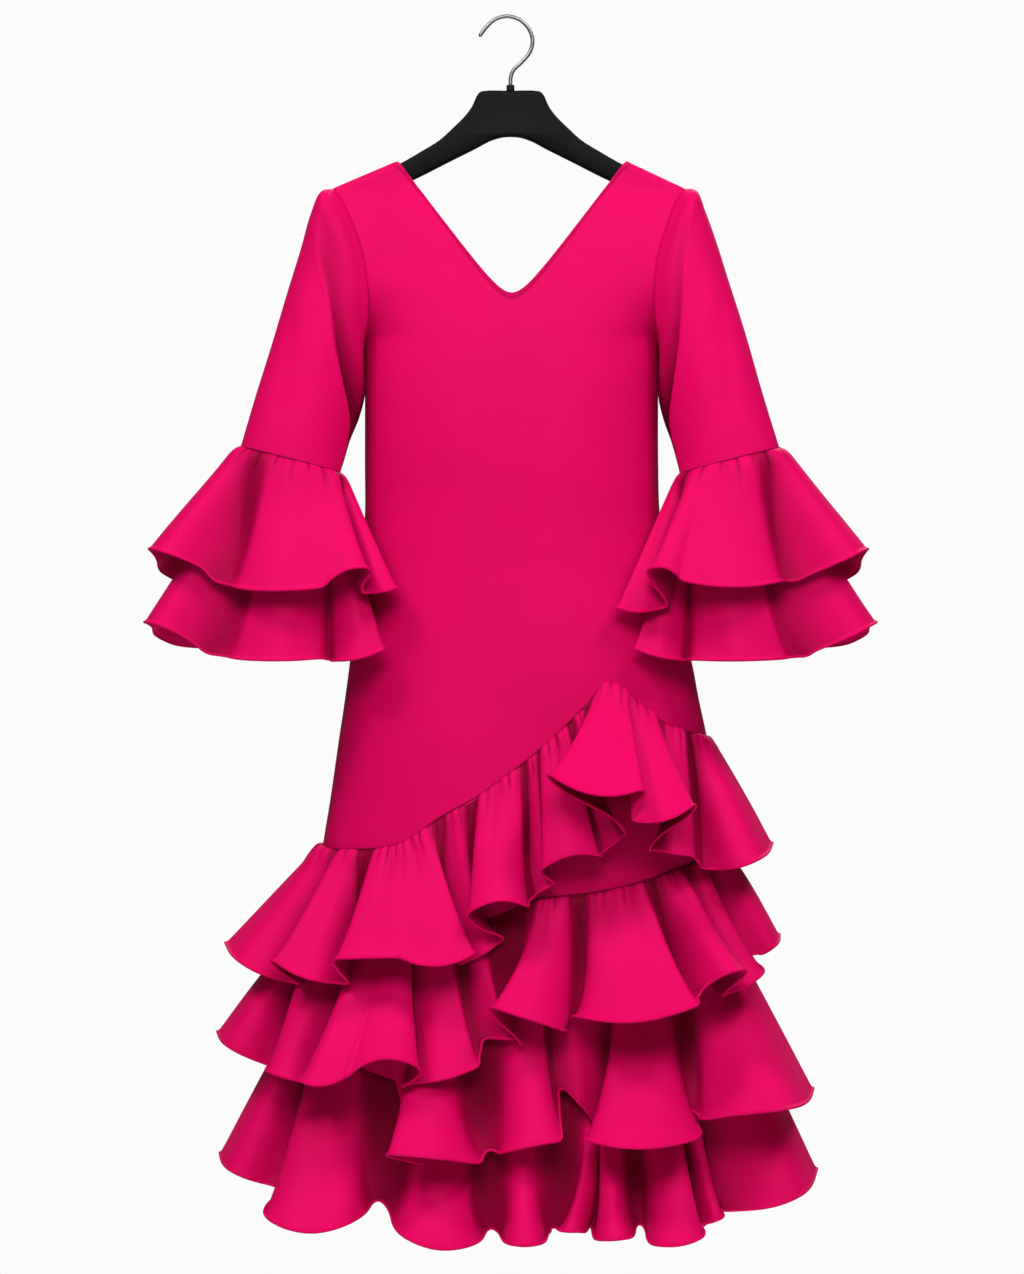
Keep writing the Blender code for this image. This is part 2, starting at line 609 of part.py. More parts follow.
def cuff_flounce(side, layer, material):
    cuff = CUFFS[side, layer]
    front, back = cuff_hem(side, cuff, BODY_CLEAR[layer])
    turns = [point[:3] for point in front + back]
    cells = hem_cells(len(front)) + hem_cells(len(back) + 1)[:len(back)]
    line = curve_through(turns, cells, closed=True)
    lengths = [0.0]
    for a, b in zip(line, line[1:] + line[:1]):
        lengths.append(lengths[-1] + (b - a).length)
    right_at = min(range(len(line)), key=lambda i: (line[i] - Vector(cuff.right_tip)).length)
    rows = []
    for down in reversed(CUFF_ROWS):
        row = []
        for i, rim in enumerate(line):
            if i <= right_at:
                across = 0.5 * lengths[i] / lengths[right_at]
            else:
                across = 0.5 + 0.5 * (lengths[i] - lengths[right_at]) / (lengths[-1] - lengths[right_at])
            turn = across if side == "right" else 0.5 - across
            seam = cuff_seam(side, cuff.seam_ring, turn, CUFF_OUT[layer])
            level = seam.z + (rim.z - seam.z) * down
            reach = (rim - seam) * down ** cuff.power
            row.append(Vector((seam.x + reach.x, seam.y + reach.y, level)))
        rows.append(row + row[:1])
    cloth_piece("cuff_%s_%s" % (layer, side), rows, material, ring=True)


# ---- hanger and hook -------------------------------------------------------------------------------
def add_curve(name, points, dimensions, closed, material):
    curve = bpy.data.curves.new(name, "CURVE")
    curve.dimensions = dimensions
    spline = curve.splines.new("POLY")
    spline.points.add(len(points) - 1)
    for point, place in zip(spline.points, points):
        point.co = (*(Vector(place) * MM), 1.0)
    spline.use_cyclic_u = closed
    obj = bpy.data.objects.new(name, curve)
    finish_object(obj, material)
    return obj


def hanger(material):
    top = curve_through([(x, z, 0.0) for x, z in HANGER_TOP], [1, 1, 1, 1, 1, 1, 1, 1, 1, 1, 1, 1, 2])
    bottom = curve_through([(x, z, 0.0) for x, z in HANGER_BOTTOM], [1])
    half = [Vector(point) for point in top + bottom]
    whole = half + [Vector((-p.x, p.y, 0.0)) for p in reversed(half[1:-1])]
    obj = add_curve("hanger", whole, "2D", True, material)
    obj.data.fill_mode = "BOTH"
    obj.data.extrude = (HANGER_THICK / 2 - HANGER_EDGE) * MM
    obj.data.bevel_depth = HANGER_EDGE * MM
    obj.data.offset = -HANGER_EDGE * MM
    obj.data.bevel_resolution = 1
    obj.rotation_euler = (math.pi / 2, 0.0, 0.0)
    obj.location = (STEM_X * MM, 0.0, 0.0)


def hook(material):
    radius = HOOK_INNER + HOOK_WIRE / 2
    points = []
    steps = 20
    for k in range(steps + 1):
        angle = math.radians(between(HOOK_TIP_ANGLE, HOOK_NECK_ANGLE, k / steps))
        points.append((radius * math.cos(angle), 0.0, -HOOK_INNER + radius * math.sin(angle)))
    bend = [points[-1], (8.2, 0.0, -57.0), (4.6, 0.0, -62.5), (STEM_X, 0.0, -70.0),
            (STEM_X, 0.0, COLLAR_TOP - 6.3)]
    points = points[:-1] + [tuple(p) for p in curve_through(bend, [2])]
    obj = add_curve("hook", points, "3D", False, material)
    obj.data.bevel_depth = HOOK_WIRE / 2 * MM
    obj.data.bevel_resolution = 2
    obj.data.use_fill_caps = True


def hook_collar(material):
    bottom = HANGER_TOP[0][1] + GAP
    chamfer = 0.8
    outline = ((COLLAR_BORE / 2, COLLAR_TOP), (COLLAR_OUTER / 2 - chamfer, COLLAR_TOP),
               (COLLAR_OUTER / 2, COLLAR_TOP - chamfer), (COLLAR_OUTER / 2, bottom),
               (COLLAR_BORE / 2, bottom))
    mesh = bpy.data.meshes.new("hook_collar")
    profile = bmesh.new()
    corners = [profile.verts.new((x * MM, 0.0, z * MM)) for x, z in outline]
    for a, b in zip(corners, corners[1:] + corners[:1]):
        profile.edges.new((a, b))
    profile.to_mesh(mesh)
    profile.free()
    obj = bpy.data.objects.new("hook_collar", mesh)
    turned = obj.modifiers.new("Turned", "SCREW")
    turned.steps = 20
    turned.render_steps = 20
    turned.use_merge_vertices = True
    turned.merge_threshold = 0.00001
    turned.use_normal_calculate = True
    obj.location = (STEM_X * MM, 0.0, 0.0)
    finish_object(obj, material)


# ---- build -----------------------------------------------------------------------------------------
for old in list(bpy.data.objects):
    bpy.data.objects.remove(old, do_unlink=True)
DRESS = bpy.data.collections.new("flamenco dress on a hanger")
bpy.context.scene.collection.children.link(DRESS)

crepe = cloth_material("fuchsia crepe", (0.68, 0.006, 0.10), 0.62)
black = cloth_material("black hanger", (0.012, 0.012, 0.013), 0.45)
steel = cloth_material("brushed steel", (0.62, 0.62, 0.63), 0.30)
steel.node_tree.nodes["Principled BSDF"].inputs["Metallic"].default_value = 1.0

for panel_side in ("front", "back"):
    sheath_panel(panel_side, crepe)
for arm in ("right", "left"):
    sleeve(arm, crepe)
    for cuff_layer in ("upper", "lower"):
        cuff_flounce(arm, cuff_layer, crepe)
for number, one_tier in TIERS.items():
    for panel_side in ("front", "back"):
        tier_piece("flounce_%d_%s" % (number, panel_side), panel_side, one_tier, crepe)
tier_piece("flounce_3_front", "front", PART_TIER, crepe)
tier_piece("flounce_3_back", "back", PART_TIER, crepe)
hanger(black)
hook_collar(black)
hook(steel)
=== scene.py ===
import math
from collections import namedtuple

import bpy
import numpy as np
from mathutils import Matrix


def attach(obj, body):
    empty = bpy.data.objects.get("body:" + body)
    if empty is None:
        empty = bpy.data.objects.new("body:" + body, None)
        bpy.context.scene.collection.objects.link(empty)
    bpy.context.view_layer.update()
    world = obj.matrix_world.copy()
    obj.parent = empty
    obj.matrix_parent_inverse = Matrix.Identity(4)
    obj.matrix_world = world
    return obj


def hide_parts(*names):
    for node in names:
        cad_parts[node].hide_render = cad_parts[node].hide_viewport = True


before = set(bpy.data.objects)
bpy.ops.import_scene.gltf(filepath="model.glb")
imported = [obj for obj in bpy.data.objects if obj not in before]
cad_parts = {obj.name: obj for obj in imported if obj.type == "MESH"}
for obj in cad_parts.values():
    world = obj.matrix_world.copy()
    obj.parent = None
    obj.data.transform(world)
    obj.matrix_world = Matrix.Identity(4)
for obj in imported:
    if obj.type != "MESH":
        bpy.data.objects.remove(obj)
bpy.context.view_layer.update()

MM = 0.001                    # metres in a millimetre

# ---- driving sizes -----------------------------------------------------------------------------
CLOTH = 1.1                   # thickness of the crepe
WALL = 1.5                    # thickness that the solids give it
GAP = 0.3                     # between pieces that lie on one another in the solids
LAID_ON = WALL + 2 * GAP      # from a panel's inner face to the inner face of what lies on it
SIDE_EASE = 3.5               # more of that gap where the sheath bends round its sides
GARMENT_X = 4.5               # the garment's centre line, to the right of the hanging point

SHOULDER_Z = -164.5           # shoulder seam at the neck
SHOULDER_END_Z = -196.0       # shoulder seam at the armhole
UNDERARM_Z = -370.0
HEM_OF_SHEATH_Z = -1256.0
NECK_HALF = 131.5
NECK_CENTRE = 1.0
NECK_POINT_Z = {"front": -321.5, "back": -326.0}
NECK_SOFTNESS = 0.145         # rounds the point of the V
SECTION_POWER = 2.3           # 2 is an ellipse, more has a flatter front
ROLL = 9.0                    # radius of the cloth over the hanger's arms
CORNER = 8.0                  # rounds the corner between neck and shoulder
ARMHOLE_FULLNESS = 0.75

# ---- the sheath: one row for each level --------------------------------------------------------
Level = namedtuple("Level", "z left right front back")
SHEATH = (
    Level(-164, -205.0, 200.0, 10, 12),
    Level(-196, -204.5, 199.5, 17, 20),
    Level(-216, -192.0, 188.5, 26, 29),
    Level(-238, -182.0, 180.0, 35, 38),
    Level(-262, -173.0, 172.0, 43, 46),
    Level(-288, -167.0, 166.5, 50, 53),
    Level(-317, -163.5, 164.5, 58, 60),
    Level(-339, -163.5, 165.5, 63, 66),
    Level(-370, -166.5, 168.0, 70, 72),
    Level(-440, -166.5, 168.0, 80, 80),
    Level(-510, -166.5, 168.0, 84, 84),
    Level(-573, -166.5, 170.0, 85, 86),
    Level(-623, -171.0, 179.5, 87, 90),
    Level(-680, -176.5, 191.0, 91, 96),
    Level(-740, -184.0, 206.5, 96, 102),
    Level(-784, -190.0, 215.0, 100, 106),
    Level(-830, -197.0, 225.0, 104, 110),
    Level(-899, -207.0, 237.0, 108, 114),
    Level(-956, -216.0, 244.0, 112, 117),
    Level(-1054, -226.0, 257.5, 118, 122),
    Level(-1129, -233.0, 268.0, 122, 126),
    Level(-1198, -240.0, 277.0, 126, 130),
    Level(-1256, -245.0, 284.0, 129, 133),
    Level(-1400, -256.0, 300.0, 135, 140),
)

# ---- sleeves: one row for each ring, from the armhole down -------------------------------------
Ring = namedtuple("Ring", "outer outer_z inner inner_z depth lean bulge")
SLEEVES = {
    "right": (
        Ring(-217, -200, -168.8, -384, 50, -2, 13),
        Ring(-229, -226, -168.6, -407, 54, -4, 9),
        Ring(-240, -266, -168.6, -433, 55, -7, 5),
        Ring(-254, -313, -175.0, -460, 53, -14, 2),
        Ring(-273, -379, -185.0, -486, 49, -23, 0),
        Ring(-291, -439, -191.5, -510, 44, -33, 0),
        Ring(-307, -496, -195.5, -525, 39, -42, 0),
        Ring(-310, -506, -196.0, -535, 39, -43, 0),
    ),
    "left": (
        Ring(212, -199, 170.3, -384, 50, -2, -13),
        Ring(222, -222, 170.1, -406, 54, -4, -9),
        Ring(234, -256, 170.1, -434, 55, -7, -5),
        Ring(248, -302, 176.0, -462, 53, -14, -2),
        Ring(267, -364, 184.0, -486, 49, -23, 0),
        Ring(286, -433, 190.0, -509, 44, -33, 0),
        Ring(305, -497, 193.5, -526, 39, -42, 0),
        Ring(308, -507, 194.0, -536, 39, -43, 0),
    ),
}

# ---- flounces: one row for each fold, from left to right ---------------------------------------
# top_left, top_right: where the fold's two edges leave the seam.  left, right: the edges at the
# hem, with their heights.  crest_y, crest_z: its middle.  valley: the turn to the next fold.
Fold = namedtuple("Fold", "top_left top_right left left_z crest_y crest_z right right_z"
                          " valley valley_y valley_z")
Tier = namedtuple("Tier", "folds seam_front seam_back left_tip right_tip back_folds back_drop"
                          " back_out side_power front_power puffs")
TIERS = {
    1: Tier(
        folds=(
            Fold(-216, -196, -327, -1064, -78, -1092, -239, -1105, -254, -118, -1090),
            Fold(-192, -168, -269, -1072, -135, -1094, -178, -1100, -188, -153, -1086),
            Fold(-150, -124, -197, -1070, -168, -1067, -122, -1067, -118, -170, -1069),
            Fold(-122, -91, -113, -1071, -172, -1075, -37, -1061, -48, -151, -1070),
            Fold(-74, -52, -56, -1079, -130, -1064, 0, -1046, -22, -150, -1038),
            Fold(-33, 9, -48, -1021, -172, -1003, 18, -1012, 22, -148, -1006),
            Fold(18, 30, 27, -1001, -129, -992, 53, -987, 44, -145, -979),
            Fold(35, 62, 35, -971, -161, -953, 100, -956, 102, -150, -955),
            Fold(68, 82, 104, -955, -138, -939, 134, -928, 88, -175, -896),
            Fold(101, 127, 38, -861, -207, -886, 146, -879, 138, -197, -896),
            Fold(131, 158, 131, -913, -190, -915, 205, -896, 176, -165, -921),
            Fold(166, 191, 147, -950, -142, -952, 203, -957, 206, -124, -963),
            Fold(201, 224, 210, -972, -108, -971, 299, -949, 299, 0, -949),
        ),
        seam_front=((-216, -953), (-186, -953), (-125, -945), (-80, -915), (-30, -886),
                    (39, -833), (85, -788), (101, -769), (111, -762), (124, -769),
                    (153, -793), (179, -812), (224, -827)),
        seam_back=((-216, -953), (-100, -915), (40, -868), (150, -842), (224, -827)),
        left_tip=(-327, -1064), right_tip=(299, -949),
        back_folds=7, back_drop=22, back_out=62, side_power=1.0, front_power=1.1, puffs=1.0),
    2: Tier(
        folds=(
            Fold(-224, -220, -336, -1166, -72, -1185, -267, -1203, -269, -94, -1195),
            Fold(-217, -178, -275, -1198, -128, -1205, -221, -1216, -227, -150, -1205),
            Fold(-168, -141, -235, -1201, -193, -1206, -185, -1199, -178, -195, -1195),
            Fold(-139, -114, -174, -1192, -194, -1175, -100, -1190, -114, -173, -1204),
            Fold(-106, -72, -124, -1210, -162, -1203, -34, -1188, -30, -148, -1173),
            Fold(-48, -28, -28, -1161, -141, -1159, 18, -1166, -2, -158, -1147),
            Fold(33, 66, -25, -1121, -184, -1132, 57, -1149, 63, -140, -1139),
            Fold(89, 148, 69, -1132, -198, -1135, 209, -1117, 211, -182, -1110),
            Fold(162, 190, 217, -1104, -182, -1083, 262, -1082, 249, -150, -1098),
            Fold(196, 211, 237, -1115, -120, -1104, 285, -1088, 281, -88, -1080),
            Fold(216, 245, 277, -1073, -58, -1068, 307, -1054, 307, 0, -1054),
        ),
        seam_front=((-224, -1042), (-124, -1043), (-57, -1029), (24, -1007), (89, -999),
                    (144, -988), (204, -968), (245, -961)),
        seam_back=((-224, -1042), (-80, -1020), (100, -985), (245, -961)),
        left_tip=(-336, -1166), right_tip=(307, -1054),
        back_folds=7, back_drop=26, back_out=62, side_power=0.8, front_power=1.4, puffs=0.9),
    3: Tier(
        folds=(
            Fold(-107, -67, -166, -1280, -205, -1282, -30, -1295, -23, -148, -1283),
            Fold(-3, 32, -13, -1285, -184, -1273, 57, -1269, 57, -150, -1232),
            Fold(44, 100, 56, -1214, -146, -1232, 97, -1262, 98, -150, -1268),
            Fold(117, 172, 80, -1266, -214, -1272, 214, -1263, 199, -150, -1239),
            Fold(207, 261, 209, -1249, -172, -1237, 346, -1231, 346, 0, -1231),
        ),
        seam_front=((-140, -1142), (-46, -1135), (33, -1123), (144, -1118), (212, -1101),
                    (261, -1082)),
        seam_back=((-235, -1150), (-100, -1140), (0, -1128), (140, -1106), (261, -1082)),
        left_tip=(-330, -1290), right_tip=(346, -1231),
        back_folds=6, back_drop=30, back_out=74, side_power=1.0, front_power=1.5, puffs=0.3),
    4: Tier(
        folds=(
            Fold(-230, -222, -333, -1305, -85, -1322, -262, -1335, -268, -112, -1340),
            Fold(-214, -169, -275, -1354, -184, -1369, -159, -1352, -147, -122, -1341),
            Fold(-102, -55, -132, -1366, -206, -1384, -30, -1379, -20, -140, -1370),
            Fold(0, 24, -9, -1380, -202, -1381, 39, -1380, 43, -142, -1371),
            Fold(84, 97, 49, -1369, -184, -1368, 79, -1369, 85, -150, -1367),
            Fold(99, 118, 91, -1377, -204, -1374, 136, -1374, 144, -146, -1365),
            Fold(145, 180, 152, -1382, -200, -1381, 213, -1373, 214, -156, -1365),
            Fold(188, 200, 216, -1367, -152, -1361, 236, -1357, 236, -130, -1352),
            Fold(207, 274, 240, -1355, -122, -1348, 350, -1323, 350, 0, -1323),
        ),
        seam_front=((-230, -1129), (-191, -1185), (-124, -1213), (-46, -1224), (32, -1224),
                    (111, -1218), (211, -1196), (274, -1173)),
        seam_back=((-230, -1129), (-150, -1190), (0, -1216), (150, -1206), (274, -1173)),
        left_tip=(-333, -1305), right_tip=(350, -1323),
        back_folds=8, back_drop=58, back_out=64, side_power=1.0, front_power=1.7, puffs=0.3),
}
PART_TIER = 3                 # winds part of the way round: its left ends are tucked under tier 2
TUCK = (-96, -153, -1296)     # the free end of its hem in front
BACK_WRAP = 0.68              # how far its back reaches, as a share of the way to the left side
# a fold of a hem's back: shares of its width, and how far out the cloth is there
BACK_FOLD = ((0.14, 0.55), (0.32, 0.97), (0.5, 1.05), (0.68, 0.97), (0.86, 0.55))
BACK_ROUND = 0.87             # 1 is an ellipse, less is squarer
BACK_VALLEY = 0.42            # how far out a valley of the back lies, as a share of back_out
BACK_CREST = 0.58             # and how much farther a fold does
VALLEY_RISE = 6               # how much higher the back's valleys hang than its folds

# ---- cuff flounces: folds of the front, then how the back half is shaped -----------------------
Cuff = namedtuple("Cuff", "folds left_tip right_tip back_folds back_out back_z back_round"
                          " seam_ring power")
CUFFS = {
    ("right", "upper"): Cuff(
        folds=(
            Fold(0, 0, -410, -613, -98, -619, -352, -636, -330, -93, -653),
            Fold(0, 0, -309, -657, -126, -660, -209, -656, -206, -130, -653),
            Fold(0, 0, -203, -650, -128, -636, -157, -637, -166, -117, -652),
            Fold(0, 0, -165, -664, -107, -662, -127, -656, -127, -96, -656),
        ),
        left_tip=(-411, -34, -613), right_tip=(-127, -98, -656),
        back_folds=3, back_out=48, back_z=-658, back_round=0.85, seam_ring=6.0, power=1.0),
    ("right", "lower"): Cuff(
        folds=(
            Fold(0, 0, -415, -696, -88, -701, -362, -722, -338, -82, -733),
            Fold(0, 0, -313, -736, -108, -738, -212, -736, -206, -86, -738),
            Fold(0, 0, -198, -739, -108, -736, -140, -724, -140, -98, -724),
        ),
        left_tip=(-416, -36, -696), right_tip=(-140, -98, -724),
        back_folds=3, back_out=36, back_z=-732, back_round=1.2, seam_ring=6.3, power=1.3),
    ("left", "upper"): Cuff(
        folds=(
            Fold(0, 0, 118, -679, -108, -684, 176, -678, 166, -120, -660),
            Fold(0, 0, 152, -639, -134, -634, 186, -644, 190, -132, -648),
            Fold(0, 0, 192, -649, -128, -656, 304, -649, 318, -93, -650),
            Fold(0, 0, 336, -645, -98, -627, 405, -611, 406, -34, -611),
        ),
        left_tip=(118, -104, -679), right_tip=(407, -34, -611),
        back_folds=3, back_out=48, back_z=-658, back_round=0.85, seam_ring=6.0, power=1.0),
    ("left", "lower"): Cuff(
        folds=(
            Fold(0, 0, 138, -724, -106, -734, 192, -738, 198, -88, -738),
            Fold(0, 0, 204, -738, -108, -738, 310, -736, 330, -82, -735),
            Fold(0, 0, 350, -728, -88, -711, 415, -694, 415, -36, -694),
        ),
        left_tip=(138, -104, -724), right_tip=(416, -36, -694),
        back_folds=3, back_out=36, back_z=-732, back_round=1.2, seam_ring=6.3, power=1.3),
}
CUFF_OUT = {"upper": 4.8, "lower": 2.4}       # from the sleeve's inner face
BODY_CLEAR = {"upper": 13.0, "lower": 17.0}   # between a cuff flounce and the body beside it
CUFF_LENGTH = 150.0           # about how far it is from a cuff's seam to its hem
CUFF_VALLEY_RISE = 7.0

# ---- hanger and hook ---------------------------------------------------------------------------
STEM_X = 4.0                  # the hanger's centre line
HANGER_THICK = 11.0
HANGER_EDGE = 3.5             # rounding of the hanger's edges
HANGER_TOP = ((0, -83.4), (28, -83.4), (35, -85.0), (38.5, -89.0), (44, -101), (51, -111),
              (68, -128), (82, -140.5), (103, -153.5), (127, -167.2), (150, -177.5), (170, -186.5),
              (180, -191.5), (185, -199))
HANGER_BOTTOM = ((182, -206), (175, -208), (150, -201), (114, -187), (70, -165), (40, -150),
                 (24, -141.5), (10, -137.2), (0, -136.3))
HOOK_WIRE = 4.6               # thickness of the wire
# the hook's line from its open end, round to the left of the hanging point and down to the stem
Bend = namedtuple("Bend", "x z")
HOOK_LINE = (
    Bend(-31.9, -21.0), Bend(-23.8, -10.1), Bend(-13.6, -1.2), Bend(0.6, 2.4), Bend(15.2, -2.0),
    Bend(25.2, -12.0), Bend(29.4, -25.8), Bend(26.2, -38.8), Bend(17.0, -50.3), Bend(7.4, -59.6),
    Bend(4.2, -68.6), Bend(4.0, -76.0), Bend(4.0, -82.8),
)
COLLAR_OUTER = 9.2            # diameter of the ring at the foot of the hook
COLLAR_TOP = -76.5
COLLAR_RIM = 0.8              # the flat rim round its top
COLLAR_SLOPE = 1.2            # the slope from the rim into the dish
COLLAR_DISH = 0.4             # depth of the dish
COLLAR_EDGE = 0.35            # rounding of its edges
HOOK_TIP = 0.35               # the wire's end keeps this share of its thickness

# ---- how finely each piece is laid out ---------------------------------------------------------
SHEATH_COLUMNS = 120
SHEATH_ROWS = 90
YOKE_ROWS = 64
YOKE_SPACING = 1.6            # more brings the yoke's rows closer at its top
CLIMBS = 40                   # steps in which a column finds its top
SLEEVE_SIDES = 112
SLEEVE_CELLS = 10             # rows between two rings of the sleeve
# columns of a fold: from its left edge over three turns of its crest to its right edge, then
# down its side into the valley and up to the next fold
FOLD_CELLS = (6, 6, 6, 6, 4, 5, 5, 4)
BACK_CELLS = (4, 5, 5, 4, 4, 4)
CUFF_CELLS = (5, 6, 6, 5, 3, 4, 4, 3)
CUFF_BACK_CELLS = (5, 6, 6, 5, 5, 5)
FLOUNCE_ROWS = 44
CUFF_ROWS = 38
TURN_ROUNDING = 5             # how often a hem's turns are smoothed
HEIGHT_ROUNDING = 8           # and how often their heights are
CLOSE_ROWS = 0.75             # how much closer the rows lie at a seam and at a hem
SAME_PLACE = 0.000001         # points nearer than this are one point, in metres
CLOTH_SHARP = 60              # edges sharper than this many degrees aren't smoothed
MOULDING_SHARP = 40

# ---- gathers, seams and hems -------------------------------------------------------------------
Gathers = namedtuple("Gathers", "pitch height length seed")
FLOUNCE_GATHERS = Gathers(11.5, 3.4, 20.0, 0.0)
FLOUNCE_PLEATS = Gathers(31.0, 3.4, 60.0, 1.7)   # softer folds that run out of the gathers
CUFF_GATHERS = Gathers(17.0, 2.0, 18.0, 0.6)
CUFF_PLEATS = Gathers(37.0, 2.4, 48.0, 2.9)
PUFF_POWER = 0.6              # less makes rounder puffs with tighter pinches
PUFF_RISE = 2.5               # how far below the seam the puffs take to rise
END_COLUMNS = 6.0             # columns over which they fade at the ends of a flounce
CUFF_END = 8.0                # and the length over which they do inside a cuff
TUCKED = 0.8                  # how deep a flounce's top edge sits in the panel's outer face
TUCK_DEPTH = 7.0              # how far down the flounce takes to come away from the panel
HEM_CORD = 1.55               # radius of a rolled hem
HEM_LIP = 1.6                 # how far a hem turns out at its edge
LIP_REACH = 3.5               # how far up from the edge it does
STITCH_LINE = 4.5             # from a hem's edge to its stitches
STITCH_WIDTH = 1.4
STITCH_GROOVE = 0.35          # how far stitches draw the cloth in
NECK_CORD = 0.95              # radius of the neck's rolled edge
SEAM_CORD = 0.95              # radius of a sewn seam's ridge, painted dark as the seam's shade
SEAM_GROOVE = 0.5             # how deep a plain seam lies
NECK_FACING = 3.4             # from the neck's edge to the stitches of its facing
NECK_ROLL = 0.45              # how far the faced edge stands out
NECK_SLANT = 0.66             # length across the facing for a length straight down
ARMHOLE_CORD = 0.8            # radius of the ridge round an armhole, painted dark as its shade
ARMHOLE_CORD_OUT = 0.9        # how far outside the armhole's edge it lies
SLEEVE_TUCK = 2.0             # how far the sleeve's top edge is tucked inside the armhole
SLEEVE_HEAD = 0.7             # how far the sleeve's rounded head stands out below the seam
HEAD_EASE = 4.0               # nearer to the armhole than this,
HEAD_FLAT = 0.6               # only this share of a sleeve's relief is left

# ---- folds and the valleys between them --------------------------------------------------------
EDGE_DEPTH = 0.42             # where a fold's edge is, from its crest to the valley
LEVEL = 8.0                   # folds whose crests differ less run into each other at a soft lap
# valleys, by x and y, that stay shallow
SOFT_LAPS = {(138, -197), (-118, -170), (-178, -195), (-206, -130), (190, -132)}
FOLD_BULGE = 0.06             # how far the middle of a fold comes forward, as a share of its width
FOLD_FLANK = 0.03             # how far its two sides fall back
WALL_PLACE = 0.3              # where the side of a fold meets the valley, from its edge
WALL_DEPTH = 0.75             # how deep it is there
WALL_HEIGHT = 0.5             # and how much of the way to the valley's height
NARROW = 20.0                 # wider valleys have sloping sides
OPEN_DEPTH = 4                # a valley this much behind both folds' edges is open
RECESS = 0.60                 # how much of its reach a valley loses half way down
RECESS_AT_HEM = 0.12          # and at the hem
SIDE_REACH = 3.0              # a half ends on the side seam when it lies this near to it

# ---- painted shade: how much darker the colour is painted, 0 on open cloth and at most 1 -------
SIDE_SHADE = 0.56             # by the side seams
SIDE_SHADE_WIDTH = 34.0       # about how far from them
SIDE_SHADE_TOP_Z = -300.0     # it fades in below this height
PANEL_SHADE = 0.05            # over the flat panels
HIP_SHADE = 0.09              # and more low down on them
HIP_SHADE_TOP_Z = -560.0      # it fades in below this height
SEAM_SHADE = 0.75             # in the groove of a seam
NECK_SHADE = 0.5              # along the stitches of the neck
SLEEVE_SHADE = 1.3            # behind the long crease of a sleeve, before it is cut off at 1
SLEEVE_SHADE_WIDTH = 75.0     # about how far behind it
CUFF_SHADE = 0.8              # in a cuff's valleys, as a share of a flounce's
PLEAT_SHADE = 0.25            # in the hollows of a flounce's softer folds
CUFF_PLEAT_SHADE = 0.2        # and of a cuff's

# ---- how the panels and the sleeves hang -------------------------------------------------------
# the faint long hollows of the panels: spacings across and down; down < 0 slants the other way
Hollow = namedtuple("Hollow", "depth across down start")
DRAPE = (Hollow(0.9, 37.0, 310.0, 0.0), Hollow(0.7, 61.0, -170.0, 1.3),
         Hollow(0.5, 19.0, 260.0, 0.4))
DRAPE_TOP_Z = -300.0          # they grow from this height down
DRAPE_FADE = 300.0            # over this much

# the long crease of a sleeve: at each share of its length, the share of the way round from the
# outer edge by the front.  The cloth between it and the body falls back.
Ridge = namedtuple("Ridge", "along turn")
SLEEVE_RIDGE = {
    "right": (Ridge(0.0, 0.04), Ridge(0.25, 0.14), Ridge(0.30, 0.205), Ridge(0.40, 0.270),
              Ridge(0.46, 0.320), Ridge(0.64, 0.438), Ridge(1.0, 0.49)),
    "left": (Ridge(0.0, 0.04), Ridge(0.107, 0.116), Ridge(0.20, 0.205), Ridge(0.325, 0.277),
             Ridge(0.44, 0.348), Ridge(0.63, 0.446), Ridge(1.0, 0.49)),
}
RIDGE_DROP = 15.0             # how far the cloth falls back behind the crease
RIDGE_WIDTH = 11.0            # how far behind it the cloth takes to fall
RIDGE_FADE = 50.0             # and to come forward again
RIDGE_HEIGHT = 1.6            # how far the crease itself stands out
RIDGE_MIDDLE = 0.57           # where along the sleeve it is deepest
RIDGE_REACH = 0.32            # and how far along it the crease is strong

# softer hollows, each from a place high on the sleeve to a place low on it
Crease = namedtuple("Crease", "turn along turn_low along_low width depth")
CREASE_FULL = 0.34            # share of its length, each way from the middle, at full depth
CREASE_FADE = 0.02            # more lets it run out more slowly past that
CREASE_LIP = 0.55             # height of the lip beside it, as a share of its depth
SLEEVE_CREASES = {
    "right": (
        Crease(0.10, 0.45, 0.20, 0.85, 16.0, 1.3),
        Crease(0.60, 0.10, 0.70, 0.50, 12.0, 2.4),
        Crease(0.82, 0.30, 0.74, 0.75, 12.0, 1.8),
    ),
    "left": (
        Crease(0.12, 0.40, 0.22, 0.80, 16.0, 1.3),
        Crease(0.61, 0.12, 0.70, 0.52, 12.0, 2.2),
        Crease(0.80, 0.34, 0.75, 0.80, 12.0, 1.9),
    ),
}


# ---- small helpers -----------------------------------------------------------------------------
def between(a, b, share):
    return a + (b - a) * share


def smooth_step(start, leaving, end, arriving, s):
    """From start to end at share s of the way, leaving and arriving at the slopes given."""
    return ((2 * s ** 3 - 3 * s ** 2 + 1) * start + (s ** 3 - 2 * s ** 2 + s) * leaving
            + (3 * s ** 2 - 2 * s ** 3) * end + (s ** 3 - s ** 2) * arriving)


def smooth_table(rows, key, value):
    """A smooth curve through the rows of a table, as a function of the column `key`."""
    rows = sorted(rows, key=lambda row: row[key])
    xs = np.array([float(row[key]) for row in rows])
    ys = np.array([float(row[value]) for row in rows])
    low = np.maximum(np.arange(len(xs)) - 1, 0)
    high = np.minimum(np.arange(len(xs)) + 1, len(xs) - 1)
    slopes = (ys[high] - ys[low]) / (xs[high] - xs[low])

    def read(x):
        x = np.clip(x, xs[0], xs[-1])
        i = np.clip(np.searchsorted(xs, x) - 1, 0, len(xs) - 2)
        span = xs[i + 1] - xs[i]
        return smooth_step(ys[i], span * slopes[i], ys[i + 1], span * slopes[i + 1], (x - xs[i]) / span)
    return read


